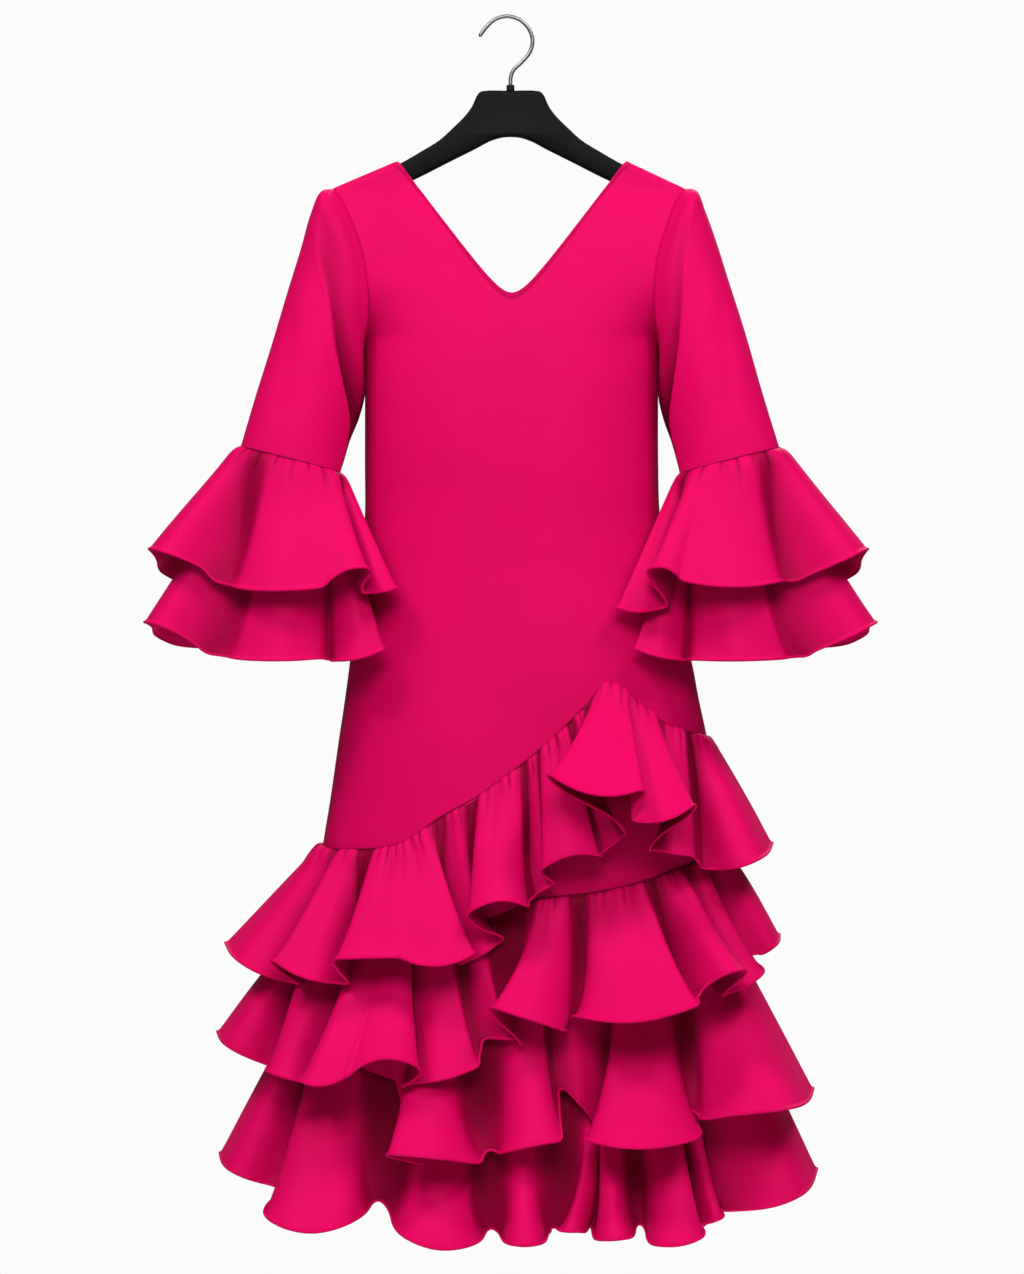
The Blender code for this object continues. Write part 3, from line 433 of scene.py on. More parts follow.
def curve_through(points, cells, closed=False):
    """Points along a smooth curve through `points`, with cells[i] steps after points[i]."""
    points = [np.array(p, dtype=float) for p in points]
    count = len(points)
    if closed:
        line = [points[-1]] + points + [points[0], points[1]]
    else:
        line = [2 * points[0] - points[1]] + points + [2 * points[-1] - points[-2]]
    out = []
    for i in range(count if closed else count - 1):
        before, start, end, after = line[i:i + 4]
        step_in = max(np.linalg.norm(start - before), 1e-6) ** 0.5
        step = max(np.linalg.norm(end - start), 1e-6) ** 0.5
        step_out = max(np.linalg.norm(after - end), 1e-6) ** 0.5
        leaving = (end - start) + step * ((start - before) / step_in - (end - before) / (step_in + step))
        arriving = (end - start) + step * ((after - end) / step_out - (after - start) / (step + step_out))
        steps = cells[i % len(cells)]
        out += [smooth_step(start, leaving, end, arriving, k / steps) for k in range(steps)]
    if not closed:
        out.append(points[-1])
    return np.array(out)


def bump(distance, width):
    """A soft rounded ridge, 1 at its middle and nearly 0 at twice its width."""
    return np.exp(-(distance / width) ** 2)


def run_of(places, axis):
    """Length along the cloth from the first point, in the direction of `axis`."""
    steps = np.linalg.norm(np.diff(places, axis=axis), axis=2)
    start = np.zeros_like(np.take(steps, [0], axis=axis))
    return np.concatenate([start, np.cumsum(steps, axis=axis)], axis=axis)


def outward(places, closed=False):
    """The direction straight out of the cloth at each of its points."""
    if closed:
        places = np.concatenate([places[:, -2:-1], places, places[:, 1:2]], axis=1)
    across = np.gradient(places, axis=1)
    along = np.gradient(places, axis=0)
    normal = np.cross(across, along)
    normal = normal / np.maximum(np.linalg.norm(normal, axis=2, keepdims=True), 1e-9)
    return normal[:, 1:-1] if closed else normal


def push_out(places, amount, closed=False):
    """Move each point straight out of the cloth by its own amount."""
    return places + outward(places, closed) * amount[:, :, None]


def fall_of(places):
    """Length down the cloth from its top edge to each point."""
    return run_of(places[::-1], 0)[::-1]


def from_sides(places):
    """Length across the cloth from the nearer of its side edges to each point."""
    run = run_of(places, 1)
    return np.minimum(run, run[:, -1:] - run)


def gather_wave(gathers, run, fall):
    """Puffs between the pinches of a gathered edge, and how deep in a pinch each point lies.

    run goes along the seam and fall down from it.  The waves here never fall in step, so that
    no two puffs are the same width, height or length.
    """
    seed = gathers.seed
    turn = (run / gathers.pitch + 0.42 * np.sin(run / (2.7 * gathers.pitch) + seed)
            + 0.23 * np.sin(run / (1.13 * gathers.pitch) + 2.1 * seed))
    puff = np.abs(np.sin(np.pi * turn)) ** PUFF_POWER
    size = 1 + 0.35 * np.sin(1.9 * turn + seed) + 0.25 * np.sin(0.53 * turn + 3 * seed)
    reach = gathers.length * (1 + 0.30 * np.sin(2.6 * turn + 1.0 + seed))
    rise = 1 - np.exp(-fall / PUFF_RISE)
    fade = np.exp(-(fall / reach) ** 2)
    return gathers.height * size * puff * rise * fade, (1 - puff) ** 2 * fade


def rows_down(count):
    """Shares of the way from the seam (0) to the hem (1), hem first, closer at both ends."""
    share = np.arange(count + 1) / count
    return 1 - (share - CLOSE_ROWS * np.sin(2 * math.pi * share) / (2 * math.pi))


def round_turns(line, closed=False):
    """Round the sharp turns of a hem, as soft cloth rounds them."""
    for k in range(HEIGHT_ROUNDING):
        softer = (np.roll(line, 1, axis=0) + 2 * line + np.roll(line, -1, axis=0)) / 4
        if not closed:
            softer[0], softer[-1] = line[0], line[-1]
        if k >= TURN_ROUNDING:
            softer[:, :2] = line[:, :2]
            softer[:, 3:] = line[:, 3:]
        line = softer
    return line


def hem_lip(from_hem):
    """The edge of a flounce turns out a little, above the stitches of its rolled hem."""
    lip = HEM_LIP * np.exp(-from_hem / LIP_REACH)
    return lip - STITCH_GROOVE * bump(from_hem - STITCH_LINE, STITCH_WIDTH)


def near_seam(fall):
    """1 along a seam, where the cloth is sunk into what it is sewn to, and 0 well below it."""
    return np.exp(-(fall / TUCK_DEPTH) ** 1.5)


def join_at_sides(places):
    """Bring the ends that lie on a side seam together with the other half's, leaving no slit."""
    for column in (0, -1):
        if np.abs(places[:, column, 1]).max() < SIDE_REACH:
            places[:, column, 1] = 0.0
    return places


# ---- making meshes -----------------------------------------------------------------------------
def drop_selection():
    bpy.ops.object.select_all(action="DESELECT")


def merge_doubles():
    """Join the points of the new piece that lie on one another."""
    bpy.ops.object.mode_set(mode="EDIT")
    bpy.ops.mesh.select_all(action="SELECT")
    bpy.ops.mesh.remove_doubles(threshold=SAME_PLACE)
    bpy.ops.object.mode_set(mode="OBJECT")


def curve_to_mesh(name, curve, line, closed):
    """Lay a curve along a line of points in metres and turn it into a mesh."""
    spline = curve.splines.new("POLY")
    spline.points.add(len(line) - 1)
    for point, (x, y, z, thickness) in zip(spline.points, line):
        point.co = (x, y, z, 1.0)
        point.radius = thickness
    spline.use_cyclic_u = closed
    piece = bpy.data.objects.new(name, curve)
    bpy.context.scene.collection.objects.link(piece)
    bpy.context.view_layer.objects.active = piece
    piece.select_set(True)
    bpy.ops.object.convert(target="MESH")
    return bpy.context.object


def finish(piece, material, sharp):
    """Smooth the faces except across edges sharper than `sharp` degrees, and give the finish."""
    piece.data.shade_smooth()
    piece.data.set_sharp_from_angle(angle=math.radians(sharp))
    piece.data.materials.clear()
    piece.data.materials.append(material)
    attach(piece, "root")


def add_cloth(name, places, material, shade, closed=False):
    """A sheet of crepe on a grid of points of its inner face; rows run from the hem upwards.

    shade is the painted shade of each point: how much its colour is darkened, in folds, seams, sides and
    creases.
    """
    rows, columns = places.shape[:2]
    drop_selection()
    bpy.ops.mesh.primitive_grid_add(x_subdivisions=columns - 1, y_subdivisions=rows - 1, size=1.0)
    piece = bpy.context.object
    piece.name = name
    piece.data.name = name
    centred = (places + np.array([GARMENT_X, 0.0, 0.0])) * MM
    piece.data.vertices.foreach_set("co", centred.reshape(-1).astype(np.float32))
    weave = np.stack([run_of(centred, 1), run_of(centred, 0)], axis=2).reshape(-1, 2)
    corners = np.zeros(len(piece.data.loops), dtype=np.int32)
    piece.data.loops.foreach_get("vertex_index", corners)
    piece.data.uv_layers[0].uv.foreach_set("vector", weave[corners].reshape(-1).astype(np.float32))
    # the points hold painted shade, which darkens the crepe's colour
    painted_shade = piece.data.attributes.new("painted_shade", "FLOAT", "POINT")
    painted_shade.data.foreach_set("value", shade.reshape(-1).astype(np.float32))
    if closed:
        merge_doubles()
    thickness = piece.modifiers.new("Wall", "SOLIDIFY")
    thickness.thickness = CLOTH * MM
    thickness.offset = 1.0
    bpy.ops.object.modifier_apply(modifier="Wall")
    finish(piece, material, CLOTH_SHARP)
    return piece


def add_cord(name, line, radius, material, closed=False, centre=GARMENT_X, sides=2):
    """A round cord along a line of points in millimetres, as a mesh; ends are capped.

    A fourth number of a point, if it has one, is its thickness as a share of the cord's.
    """
    drop_selection()
    curve = bpy.data.curves.new(name, "CURVE")
    curve.dimensions = "3D"
    curve.bevel_depth = radius * MM
    curve.bevel_resolution = sides
    curve.use_fill_caps = True
    points = [((place[0] + centre) * MM, place[1] * MM, place[2] * MM,
               place[3] if len(place) > 3 else 1.0) for place in line]
    piece = curve_to_mesh(name, curve, points, closed)
    merge_doubles()
    finish(piece, material, CLOTH_SHARP)
    return piece


# ---- the sheath --------------------------------------------------------------------------------
SHEATH_LEFT = smooth_table(SHEATH, 0, 1)
SHEATH_RIGHT = smooth_table(SHEATH, 0, 2)
SHEATH_DEPTH = {"front": smooth_table(SHEATH, 0, 3), "back": smooth_table(SHEATH, 0, 4)}


def oval(t):
    """Height of the sheath's rounded section at t, which is 1 in its middle and 0 at its sides."""
    return np.maximum(1 - np.abs(t) ** SECTION_POWER, 0.0) ** (1 / SECTION_POWER)


def armhole_share(z):
    """How much of a panel's depth the armhole takes at height z, from its side."""
    half = (SHOULDER_END_Z - UNDERARM_Z) / 2
    level = (z - UNDERARM_Z) / half - 1
    return ARMHOLE_FULLNESS * np.sqrt(np.maximum(1 - level ** 2, 0.0))


def shoulder_z(x):
    """Height of the shoulder seam at x."""
    out = np.abs(x - NECK_CENTRE) - NECK_HALF
    reach_right = SHEATH_RIGHT(SHOULDER_END_Z) - NECK_CENTRE - NECK_HALF
    reach_left = NECK_CENTRE - NECK_HALF - SHEATH_LEFT(SHOULDER_END_Z)
    reach = np.where(x < NECK_CENTRE, reach_left, reach_right)
    return between(SHOULDER_Z, SHOULDER_END_Z, np.clip(out / reach, 0.0, 1.0))


def sheath_point(side, t, z):
    """The inner face of the sheath: t runs from -1 at the left side to 1 at the right."""
    left = SHEATH_LEFT(z)
    right = SHEATH_RIGHT(z)
    x = (left + right) / 2 + t * (right - left) / 2
    y = SHEATH_DEPTH[side](z) * oval(t * oval(armhole_share(z)))
    below = np.clip(shoulder_z(x) - z, 0.0, ROLL)
    y = y * np.sqrt(1 - (1 - below / ROLL) ** 2) + GAP / 2
    return np.stack([x, -y if side == "front" else y, z + 0 * x], axis=-1)


def sheath_outward(side, t, z):
    """The direction straight out of the sheath where sheath_point has a point."""
    half = (SHEATH_RIGHT(z) - SHEATH_LEFT(z)) / 2
    x = np.copysign(np.abs(t) ** (SECTION_POWER - 1) / half, t)
    y = oval(t) ** (SECTION_POWER - 1) / SHEATH_DEPTH[side](z)
    size = np.sqrt(x ** 2 + y ** 2)
    return np.stack([x / size, (-y if side == "front" else y) / size, 0 * x], axis=-1)


def neck_edge_z(side, x):
    """Height of a panel's top at x: the edge of the neck, and beyond it the shoulder seam."""
    out = np.abs(x - NECK_CENTRE) / NECK_HALF
    soft = NECK_SOFTNESS
    rise = (np.sqrt(out ** 2 + soft ** 2) - soft) / (math.sqrt(1 + soft ** 2) - soft)
    neck = between(NECK_POINT_Z[side], SHOULDER_Z, rise)
    shoulder = shoulder_z(x)
    near = np.maximum(1 - np.abs(neck - shoulder) / CORNER, 0.0)
    return np.minimum(neck, shoulder) - CORNER / 4 * near ** 2


def top_of_columns(side, t):
    """Where each column of a panel meets its top, found by climbing from the underarm."""
    z = np.full_like(t, UNDERARM_Z)
    for _ in range(CLIMBS):
        z = between(z, neck_edge_z(side, sheath_point(side, t, z)[..., 0]), 0.7)
    return np.where(np.abs(t) == 1.0, SHOULDER_END_Z, z)


def panel_heights(t, tops):
    """Heights of a panel's rows: level up to the underarm, then fanned up to neck and shoulder."""
    levels = [np.full_like(t, z) for z in np.linspace(HEM_OF_SHEATH_Z, UNDERARM_Z, SHEATH_ROWS + 1)]
    for k in range(1, YOKE_ROWS + 1):
        share = 1 - (1 - k / YOKE_ROWS) ** YOKE_SPACING
        levels.append(between(UNDERARM_Z, tops, share))
    return np.array(levels)


def drape(x, z, t):
    """The crepe hangs in faint long hollows from the bust and the hip."""
    hollows = sum(hollow.depth * np.sin(x / hollow.across + z / hollow.down + hollow.start)
                  for hollow in DRAPE)
    return hollows * bump(np.abs(t) ** 3, 0.9) * np.clip((DRAPE_TOP_Z - z) / DRAPE_FADE, 0, 1)


def panel_edge(below_top, from_neck, at_neck):
    """The faced edge of the neck, and beyond it the groove of the shoulder seam."""
    roll = NECK_ROLL * bump(from_neck, 2.0)
    facing = roll - STITCH_GROOVE * bump(from_neck - NECK_FACING, 1.6)
    return np.where(at_neck, facing, -SEAM_GROOVE * bump(below_top, 2.0))


def panel_shade(places, z, from_neck, at_neck):
    """Painted shade of a panel: darker towards the sides, lower down, along stitches and in the seams."""
    from_side = from_sides(places)
    shade = SIDE_SHADE * bump(from_side, SIDE_SHADE_WIDTH)
    shade = shade * np.clip((SIDE_SHADE_TOP_Z - z) / 80, 0, 1)
    shade = shade + PANEL_SHADE + HIP_SHADE * np.clip((HIP_SHADE_TOP_Z - z) / 300, 0, 1)
    shade = shade + NECK_SHADE * bump(from_neck - NECK_FACING, 1.5) * at_neck
    return shade + SEAM_SHADE * bump(from_side, 1.5)


def sheath_panel(side, crepes):
    t = np.sin(np.linspace(-math.pi / 2, math.pi / 2, SHEATH_COLUMNS + 1))
    t[0], t[-1] = -1.0, 1.0
    tops = top_of_columns(side, t)
    z = panel_heights(t, tops)
    places = sheath_point(side, np.broadcast_to(t, z.shape), z)
    x = places[:, :, 0]
    at_neck = np.abs(tops - shoulder_z(x[-1])) > 0.5
    from_neck = (tops - z) * NECK_SLANT
    amount = drape(x, z, t) + panel_edge(tops - z, from_neck, at_neck)
    amount = amount - SEAM_GROOVE * bump(from_sides(places), 2.2)
    if side == "back":
        places = np.fliplr(places)
        amount = np.fliplr(amount)
        from_neck = np.fliplr(from_neck)
        at_neck = at_neck[::-1]
    places = push_out(places, amount)
    below = z[:, 0] < UNDERARM_Z
    places[below, 0, 1] = 0.0
    places[below, -1, 1] = 0.0
    # painted shade: darker towards the sides, lower down, along the neck's stitches and in the seams
    shade = panel_shade(places, z, from_neck, at_neck)
    piece = add_cloth("dress_" + side + "_crepe", places, crepes.cloth, shade)
    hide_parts("dress_" + side)
    neck_line = (places[-1] + outward(places)[-1] * CLOTH / 2)[at_neck]
    binding = add_cord("neck_" + side + "_edge", neck_line, NECK_CORD, crepes.hem)


# ---- sleeves -----------------------------------------------------------------------------------
def armhole_ring(side, angle, inside):
    """A ring by the armhole's edge, from its top round by the front; `inside` is into the body."""
    sign = -1 if side == "right" else 1
    edge = SHEATH_LEFT if side == "right" else SHEATH_RIGHT
    down = (1 - np.cos(angle)) / 2
    z = between(SHOULDER_END_Z - inside, UNDERARM_Z + inside, down)
    front = np.sin(angle) >= 0
    depth = np.where(front, SHEATH_DEPTH["front"](z), SHEATH_DEPTH["back"](z))
    y = armhole_share(z) * depth
    below = np.minimum(SHOULDER_END_Z - z, ROLL)
    y = np.maximum(y * np.sqrt(np.maximum(1 - (1 - below / ROLL) ** 2, 0.0)) - inside, 0.0)
    x = edge(z) - sign * inside
    return np.stack([x, np.where(front, -y, y), z], axis=-1)


def sleeve_ring(ring, angle):
    """The inner face of the sleeve at one ring, from its outer edge round by the front."""
    share = (1 + np.cos(angle)) / 2
    x = between(ring.inner, ring.outer, share) + ring.bulge * np.sin(angle) ** 2
    z = between(ring.inner_z, ring.outer_z, share)
    return np.stack([x, ring.lean - ring.depth * np.sin(angle), z], axis=-1)


def crease_depth(crease, turn, along, girth, length):
    """A hollow, with a lip beside it, along the line from a crease's upper end to its lower end."""
    reach_across = (crease.turn_low - crease.turn) * girth
    reach_down = (crease.along_low - crease.along) * length
    across = (turn - crease.turn) * girth
    down = (along - crease.along) * length
    size = np.linalg.norm([reach_across, reach_down])
    share = (across * reach_across + down * reach_down) / size ** 2
    aside = (across * reach_down - down * reach_across) / size
    past_ends = np.maximum(np.abs(share - 0.5) - CREASE_FULL, 0.0)
    fade = np.exp(-past_ends ** 2 / CREASE_FADE)
    lip = CREASE_LIP * bump(aside - 1.6 * crease.width, crease.width)
    return crease.depth * fade * (lip - bump(aside, 0.8 * crease.width))


def sleeve_places(side, angle):
    """The inner face of a sleeve, from its hem up to the edge that is tucked into the armhole."""
    rings = [armhole_ring(side, angle, SLEEVE_TUCK)]
    rings += [sleeve_ring(ring, angle) for ring in SLEEVES[side]]
    rings = np.array(rings)
    columns = [curve_through(rings[:, k], [SLEEVE_CELLS]) for k in range(len(angle))]
    return np.array(columns).transpose(1, 0, 2)[::-1]


def ridge_of(side, turn, along, girth):
    """Where each point is aside of the sleeve's long crease, and how strong the crease is there."""
    aside = (turn - smooth_table(SLEEVE_RIDGE[side], 0, 1)(along)) * girth
    return aside, np.exp(-((along - RIDGE_MIDDLE) / RIDGE_REACH) ** 2)


def sleeve_relief(side, turn, along, fall, girth):
    """How far each point of a sleeve stands out: its head, its long crease, hollows and seam."""
    aside, strength = ridge_of(side, turn, along, girth)
    behind = np.maximum(aside, 0.0)
    amount = -SEAM_GROOVE * bump(fall, 2.0) + SLEEVE_HEAD * bump(fall - 7.0, 5.0)
    # the drop behind the long crease ends at the sleeve's inner seam, half way round
    drop = RIDGE_DROP * strength * np.clip((0.5 - turn) / 0.07, 0, 1)
    amount = amount - drop * (1 - np.exp(-behind / RIDGE_WIDTH)) * np.exp(-(behind / RIDGE_FADE) ** 2)
    amount = amount + RIDGE_HEIGHT * bump(aside, 7.0) * strength
    for crease in SLEEVE_CREASES[side]:
        amount = amount + crease_depth(crease, turn, along, girth, float(fall.max()))
    amount = amount * np.where(fall < HEAD_EASE, HEAD_FLAT, 1.0)
    return amount - STITCH_GROOVE * bump((turn - 0.5) * girth, 1.8)


def sleeve_shade(side, turn, along, fall, girth):
    """Painted shade behind a sleeve's long crease and along its armhole: how much its colour is darkened.
    """
    aside, strength = ridge_of(side, turn, along, girth)
    behind = np.maximum(aside, 0.0)
    fade = np.exp(-(behind / SLEEVE_SHADE_WIDTH) ** 2)
    shade = SLEEVE_SHADE * (1 - np.exp(-behind / 4.0)) * fade * strength
    return np.minimum(shade, 1.0) + SEAM_SHADE * bump(fall - 2.0, 2.0)


def sleeve(side, crepes):
    angle = np.linspace(0, 2 * math.pi, SLEEVE_SIDES + 1)
    places = sleeve_places(side, angle)
    fall = fall_of(places)
    along = fall / fall[:1]
    turn = np.broadcast_to(angle / (2 * math.pi), along.shape)
    girth = 2 * (SLEEVES[side][2].outer_z - SLEEVES[side][2].inner_z)
    amount = sleeve_relief(side, turn, along, fall, girth)
    # painted shade behind the long crease and along the armhole
    shade = sleeve_shade(side, turn, along, fall, girth)
    if side == "left":
        places = np.fliplr(places)
        amount = np.fliplr(amount)
        shade = np.fliplr(shade)
    places = push_out(places, amount, closed=True)
    places[:, -1] = places[:, 0]
    piece = add_cloth("sleeve_%s_crepe" % side, places, crepes.cloth, shade, closed=True)
    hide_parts("sleeve_" + side)
    seam_line = armhole_ring(side, angle, -ARMHOLE_CORD_OUT)[:-1]
    thin = 1 - 0.6 * bump((SHOULDER_END_Z - seam_line[:, 2]) / 9.0, 1.0)
    seam = add_cord("armhole_%s_seam" % side, np.column_stack([seam_line, thin]), ARMHOLE_CORD,
                    crepes.seam, closed=True)


# ---- flounces ----------------------------------------------------------------------------------
Sink = namedtuple("Sink", "crest edge wall valley next_wall next_edge next_crest")
SHALLOW = Sink(0.0, 0.0, 0.0, 0.0, 0.0, 0.0, 0.0)
OPEN_VALLEY = Sink(0.25, 0.6, 0.85, 1.0, 0.85, 0.6, 0.25)
LAID_OVER = Sink(0.0, 0.15, 0.4, 0.65, 0.85, 1.0, 0.5)       # the left fold lies over the next
# painted shade at the same turns of a valley
OPEN_SHADE = Sink(0.0, 0.3, 0.9, 1.0, 0.9, 0.3, 0.0)
LAID_SHADE = Sink(0.0, 0.1, 0.8, 1.0, 1.0, 0.9, 0.35)


def is_soft(fold):
    """Whether the valley after a fold is one of the shallow ones."""
    return (fold.valley, fold.valley_y) in SOFT_LAPS


def valley_sink(fold, following):
    """How far the cloth falls back round a valley, and how much shade is painted there.

    Where one fold lies over the other, the one behind falls back most.
    """
    if is_soft(fold):
        return SHALLOW, SHALLOW
    right_y = between(fold.crest_y, fold.valley_y, EDGE_DEPTH)
    left_y = between(following.crest_y, fold.valley_y, EDGE_DEPTH)
    if fold.valley_y > max(right_y, left_y) + OPEN_DEPTH:
        return OPEN_VALLEY, OPEN_SHADE
    if right_y > left_y:
        return Sink(*LAID_OVER[::-1]), Sink(*LAID_SHADE[::-1])
    return LAID_OVER, LAID_SHADE


def wall_point(edge, valley, sink, shade):
    """Where the side of a fold, steep in a narrow valley, comes down to its floor."""
    deep = WALL_DEPTH if abs(edge[0] - valley[0]) < NARROW else WALL_PLACE
    x = between(edge[0], valley[0], WALL_PLACE)
    y = between(edge[1], valley[1], deep)
    z = between(edge[2], valley[2], WALL_HEIGHT)
    place = between(edge[3], valley[3], WALL_PLACE)
    return x, y, z, place, sink, shade


def valley_points(fold, following):
    """The turns of the hem from a fold's right edge through the valley to the next left edge."""
    sink, shade = valley_sink(fold, following)
    level = is_soft(fold) and abs(fold.crest_y - following.crest_y) < LEVEL
    deep = 1.0 if level else EDGE_DEPTH
    edge = (fold.right, between(fold.crest_y, fold.valley_y, deep), fold.right_z,
            fold.top_right, sink.edge, shade.edge)
    valley = (fold.valley, fold.valley_y, fold.valley_z,
              between(fold.top_right, following.top_left, 0.5), sink.valley, shade.valley)
    after = (following.left, between(following.crest_y, fold.valley_y, deep),
             following.left_z, following.top_left, sink.next_edge, shade.next_edge)
    return [edge, wall_point(edge, valley, sink.wall, shade.wall), valley,
            wall_point(after, valley, sink.next_wall, shade.next_wall), after]


def crest_points(fold, before, after, soft_before, soft_after):
    """Three turns over the top of a fold; before and after are its sinks and shades there."""
    width = fold.right - fold.left
    left_flank = FOLD_BULGE / 2 if soft_before else -FOLD_FLANK
    right_flank = FOLD_BULGE / 2 if soft_after else -FOLD_FLANK
    over_crest = ((0.2, left_flank, before), (0.5, FOLD_BULGE, (0.0, 0.0)),
                  (0.8, right_flank, after))
    points = []
    for share, forward, (sink, shade) in over_crest:
        straight = between(fold.left_z, fold.right_z, share)
        sag = (fold.crest_z - between(fold.left_z, fold.right_z, 0.5)) * 4 * share * (1 - share)
        x = between(fold.left, fold.right, share)
        place = between(fold.top_left, fold.top_right, share)
        points.append((x, fold.crest_y - forward * width, straight + sag, place, sink, shade))
    return points


def hem_points(folds, first, last):
    """Turns of the hem, left to right: x, y, z, its place on the seam, its sink and its shade."""
    sinks = [valley_sink(*pair) for pair in zip(folds, folds[1:])]
    points = [(*first, 0.0, 0.0)]
    for i, fold in enumerate(folds):
        before = (sinks[i - 1][0].next_crest, sinks[i - 1][1].next_crest) if i > 0 else (0.0, 0.0)
        after = (sinks[i][0].crest, sinks[i][1].crest) if i < len(folds) - 1 else (0.0, 0.0)
        points += crest_points(fold, before, after, i > 0 and is_soft(folds[i - 1]), is_soft(fold))
        if i < len(folds) - 1:
            points += valley_points(fold, folds[i + 1])
    return points + [(*last, 0.0, 0.0)]


def hem_cells(points_count, cells):
    """How many columns follow each of the hem's points."""
    out = [cells[0] + 1, *cells[1:]]
    while len(out) < points_count:
        out = out + list(cells)
    return out[:points_count]


def back_sink(crest):
    """How far the cloth between two folds of a back falls back, and its painted shade; crest is 1 on top
    of a fold.
    """
    return max(1 - 1.1 * crest, 0.0)


def round_hem(tier, left_tip, right_tip, wrap):
    """The turns of a plain hem round the back, from the left tip to the right tip."""
    centre = (left_tip[0] + right_tip[0]) / 2
    half = (right_tip[0] - left_tip[0]) / 2
    depth = float(SHEATH_DEPTH["back"](between(tier.left_tip[1], tier.right_tip[1], 0.5)))
    points = []
    for k in range(tier.back_folds):
        fullness = 1 + 0.12 * math.sin(1.7 * k)
        for share, crest in ((0.0, 0.0), *BACK_FOLD):
            place = (k + share) / tier.back_folds
            # the folds aren't all of one width
            place += 0.022 * math.sin(2 * math.pi * place) + 0.010 * math.sin(6 * math.pi * place)
            angle = math.pi * wrap * (1 - place)
            across = math.copysign(abs(math.cos(angle)) ** BACK_ROUND, math.cos(angle))
            share_across = (1 + across) / 2
            deep = depth + tier.back_out * (BACK_VALLEY + BACK_CREST * crest * fullness)
            x = centre + half * (0.90 + 0.10 * crest) * across
            y = left_tip[1] + deep * math.sin(angle) ** BACK_ROUND
            z = between(left_tip[2], right_tip[2], share_across) - tier.back_drop * math.sin(angle)
            # between the back's folds the cloth falls back and gets as much painted shade
            sink = back_sink(crest) * min(4 * place, 1.0) * min(4 * (1 - place), 1.0)
            points.append((x, y, z + VALLEY_RISE * (1 - crest),
                           between(left_tip[3], right_tip[3], share_across), sink, sink))
    if wrap == 1.0:
        points[0] = (*left_tip, 0.0, 0.0)
    return points + [(*right_tip, 0.0, 0.0)]


def recess_profile(down):
    """Share of its reach that the deepest valley loses, from the seam (0) to the hem (1)."""
    return RECESS * (4 * down * (1 - down)) ** 0.6 + RECESS_AT_HEM * down ** 2


def shade_of_folds(shade, down, pinch, fall):
    """Painted shade of each point: 0 on a crest, 1 in a valley or a pinch of a gather, and dark along the
    seam.
    """
    depth = shade[None] * (0.75 + 0.25 * np.sin(math.pi * np.clip(1.25 * down, 0, 1)))[:, None]
    return np.clip(depth + pinch + SEAM_SHADE * bump(fall, 1.8), 0.0, 1.0)


def share_of_panel(x, z):
    """Where x is across the sheath at height z: -1 at the left side and 1 at the right."""
    left = SHEATH_LEFT(z)
    right = SHEATH_RIGHT(z)
    return np.clip((2 * x - left - right) / (right - left), -1.0, 1.0)


def tier_surface(side, tier, seam_z, line, down):
    """The inner face of a flounce: `down` runs from 0 at the seam to 1 at the hem."""
    x, y, z, place, recess = line.T[:5]
    down = down[:, None]
    start_z = seam_z(place)
    t = share_of_panel(place, start_z)
    level = between(start_z, z, down)
    laid_on = LAID_ON + SIDE_EASE * np.abs(t) ** 8
    wide = np.broadcast_to(t, level.shape)
    from_panel = between(laid_on, CLOTH - TUCKED, near_seam(down * (start_z - z)))
    base = sheath_point(side, wide, level) + from_panel[..., None] * sheath_outward(side, wide, level)
    rim = sheath_point(side, t, z) + laid_on[:, None] * sheath_outward(side, t, z)
    power = between(tier.front_power, tier.side_power, np.abs(t) ** 4)
    kept = down ** power * (1 - recess * recess_profile(down))
    return base + (line[:, :3] - rim)[None] * kept[..., None]


def tier_seam(side, seam_z, line):
    """The sewn line along a flounce's top, on the panel's outer face."""
    place = line[:, 3]
    t = share_of_panel(place, seam_z(place))
    level = seam_z(place) + SEAM_CORD
    return sheath_point(side, t, level) + (CLOTH + 0.2) * sheath_outward(side, t, level)


def flounce_line(side, tier, seam_rows):
    """The line of a flounce's hem, smoothed, with its place on the seam, its sink and its shade."""
    first = (tier.left_tip[0], 0.0, tier.left_tip[1], float(SHEATH_LEFT(seam_rows[0][1])))
    last = (tier.right_tip[0], 0.0, tier.right_tip[1], float(SHEATH_RIGHT(seam_rows[-1][1])))
    part = tier is TIERS[PART_TIER]
    if side == "front":
        if part:
            first = (*TUCK, seam_rows[0][0])
        turns = hem_points(tier.folds, first, last)
        cells = hem_cells(len(turns), FOLD_CELLS)
    else:
        turns = round_hem(tier, first, last, BACK_WRAP if part else 1.0)
        cells = hem_cells(len(turns), BACK_CELLS)
    return round_turns(curve_through(turns, cells))


def room_for_gathers(valley_shade):
    """Where a flounce has room to puff: not in a narrow valley and not at its two ends."""
    columns = np.arange(len(valley_shade))
    from_end = np.minimum(columns, columns[::-1]) / END_COLUMNS
    return np.clip(from_end, 0.0, 1.0) * (1 - np.clip(valley_shade, 0.0, 1.0))


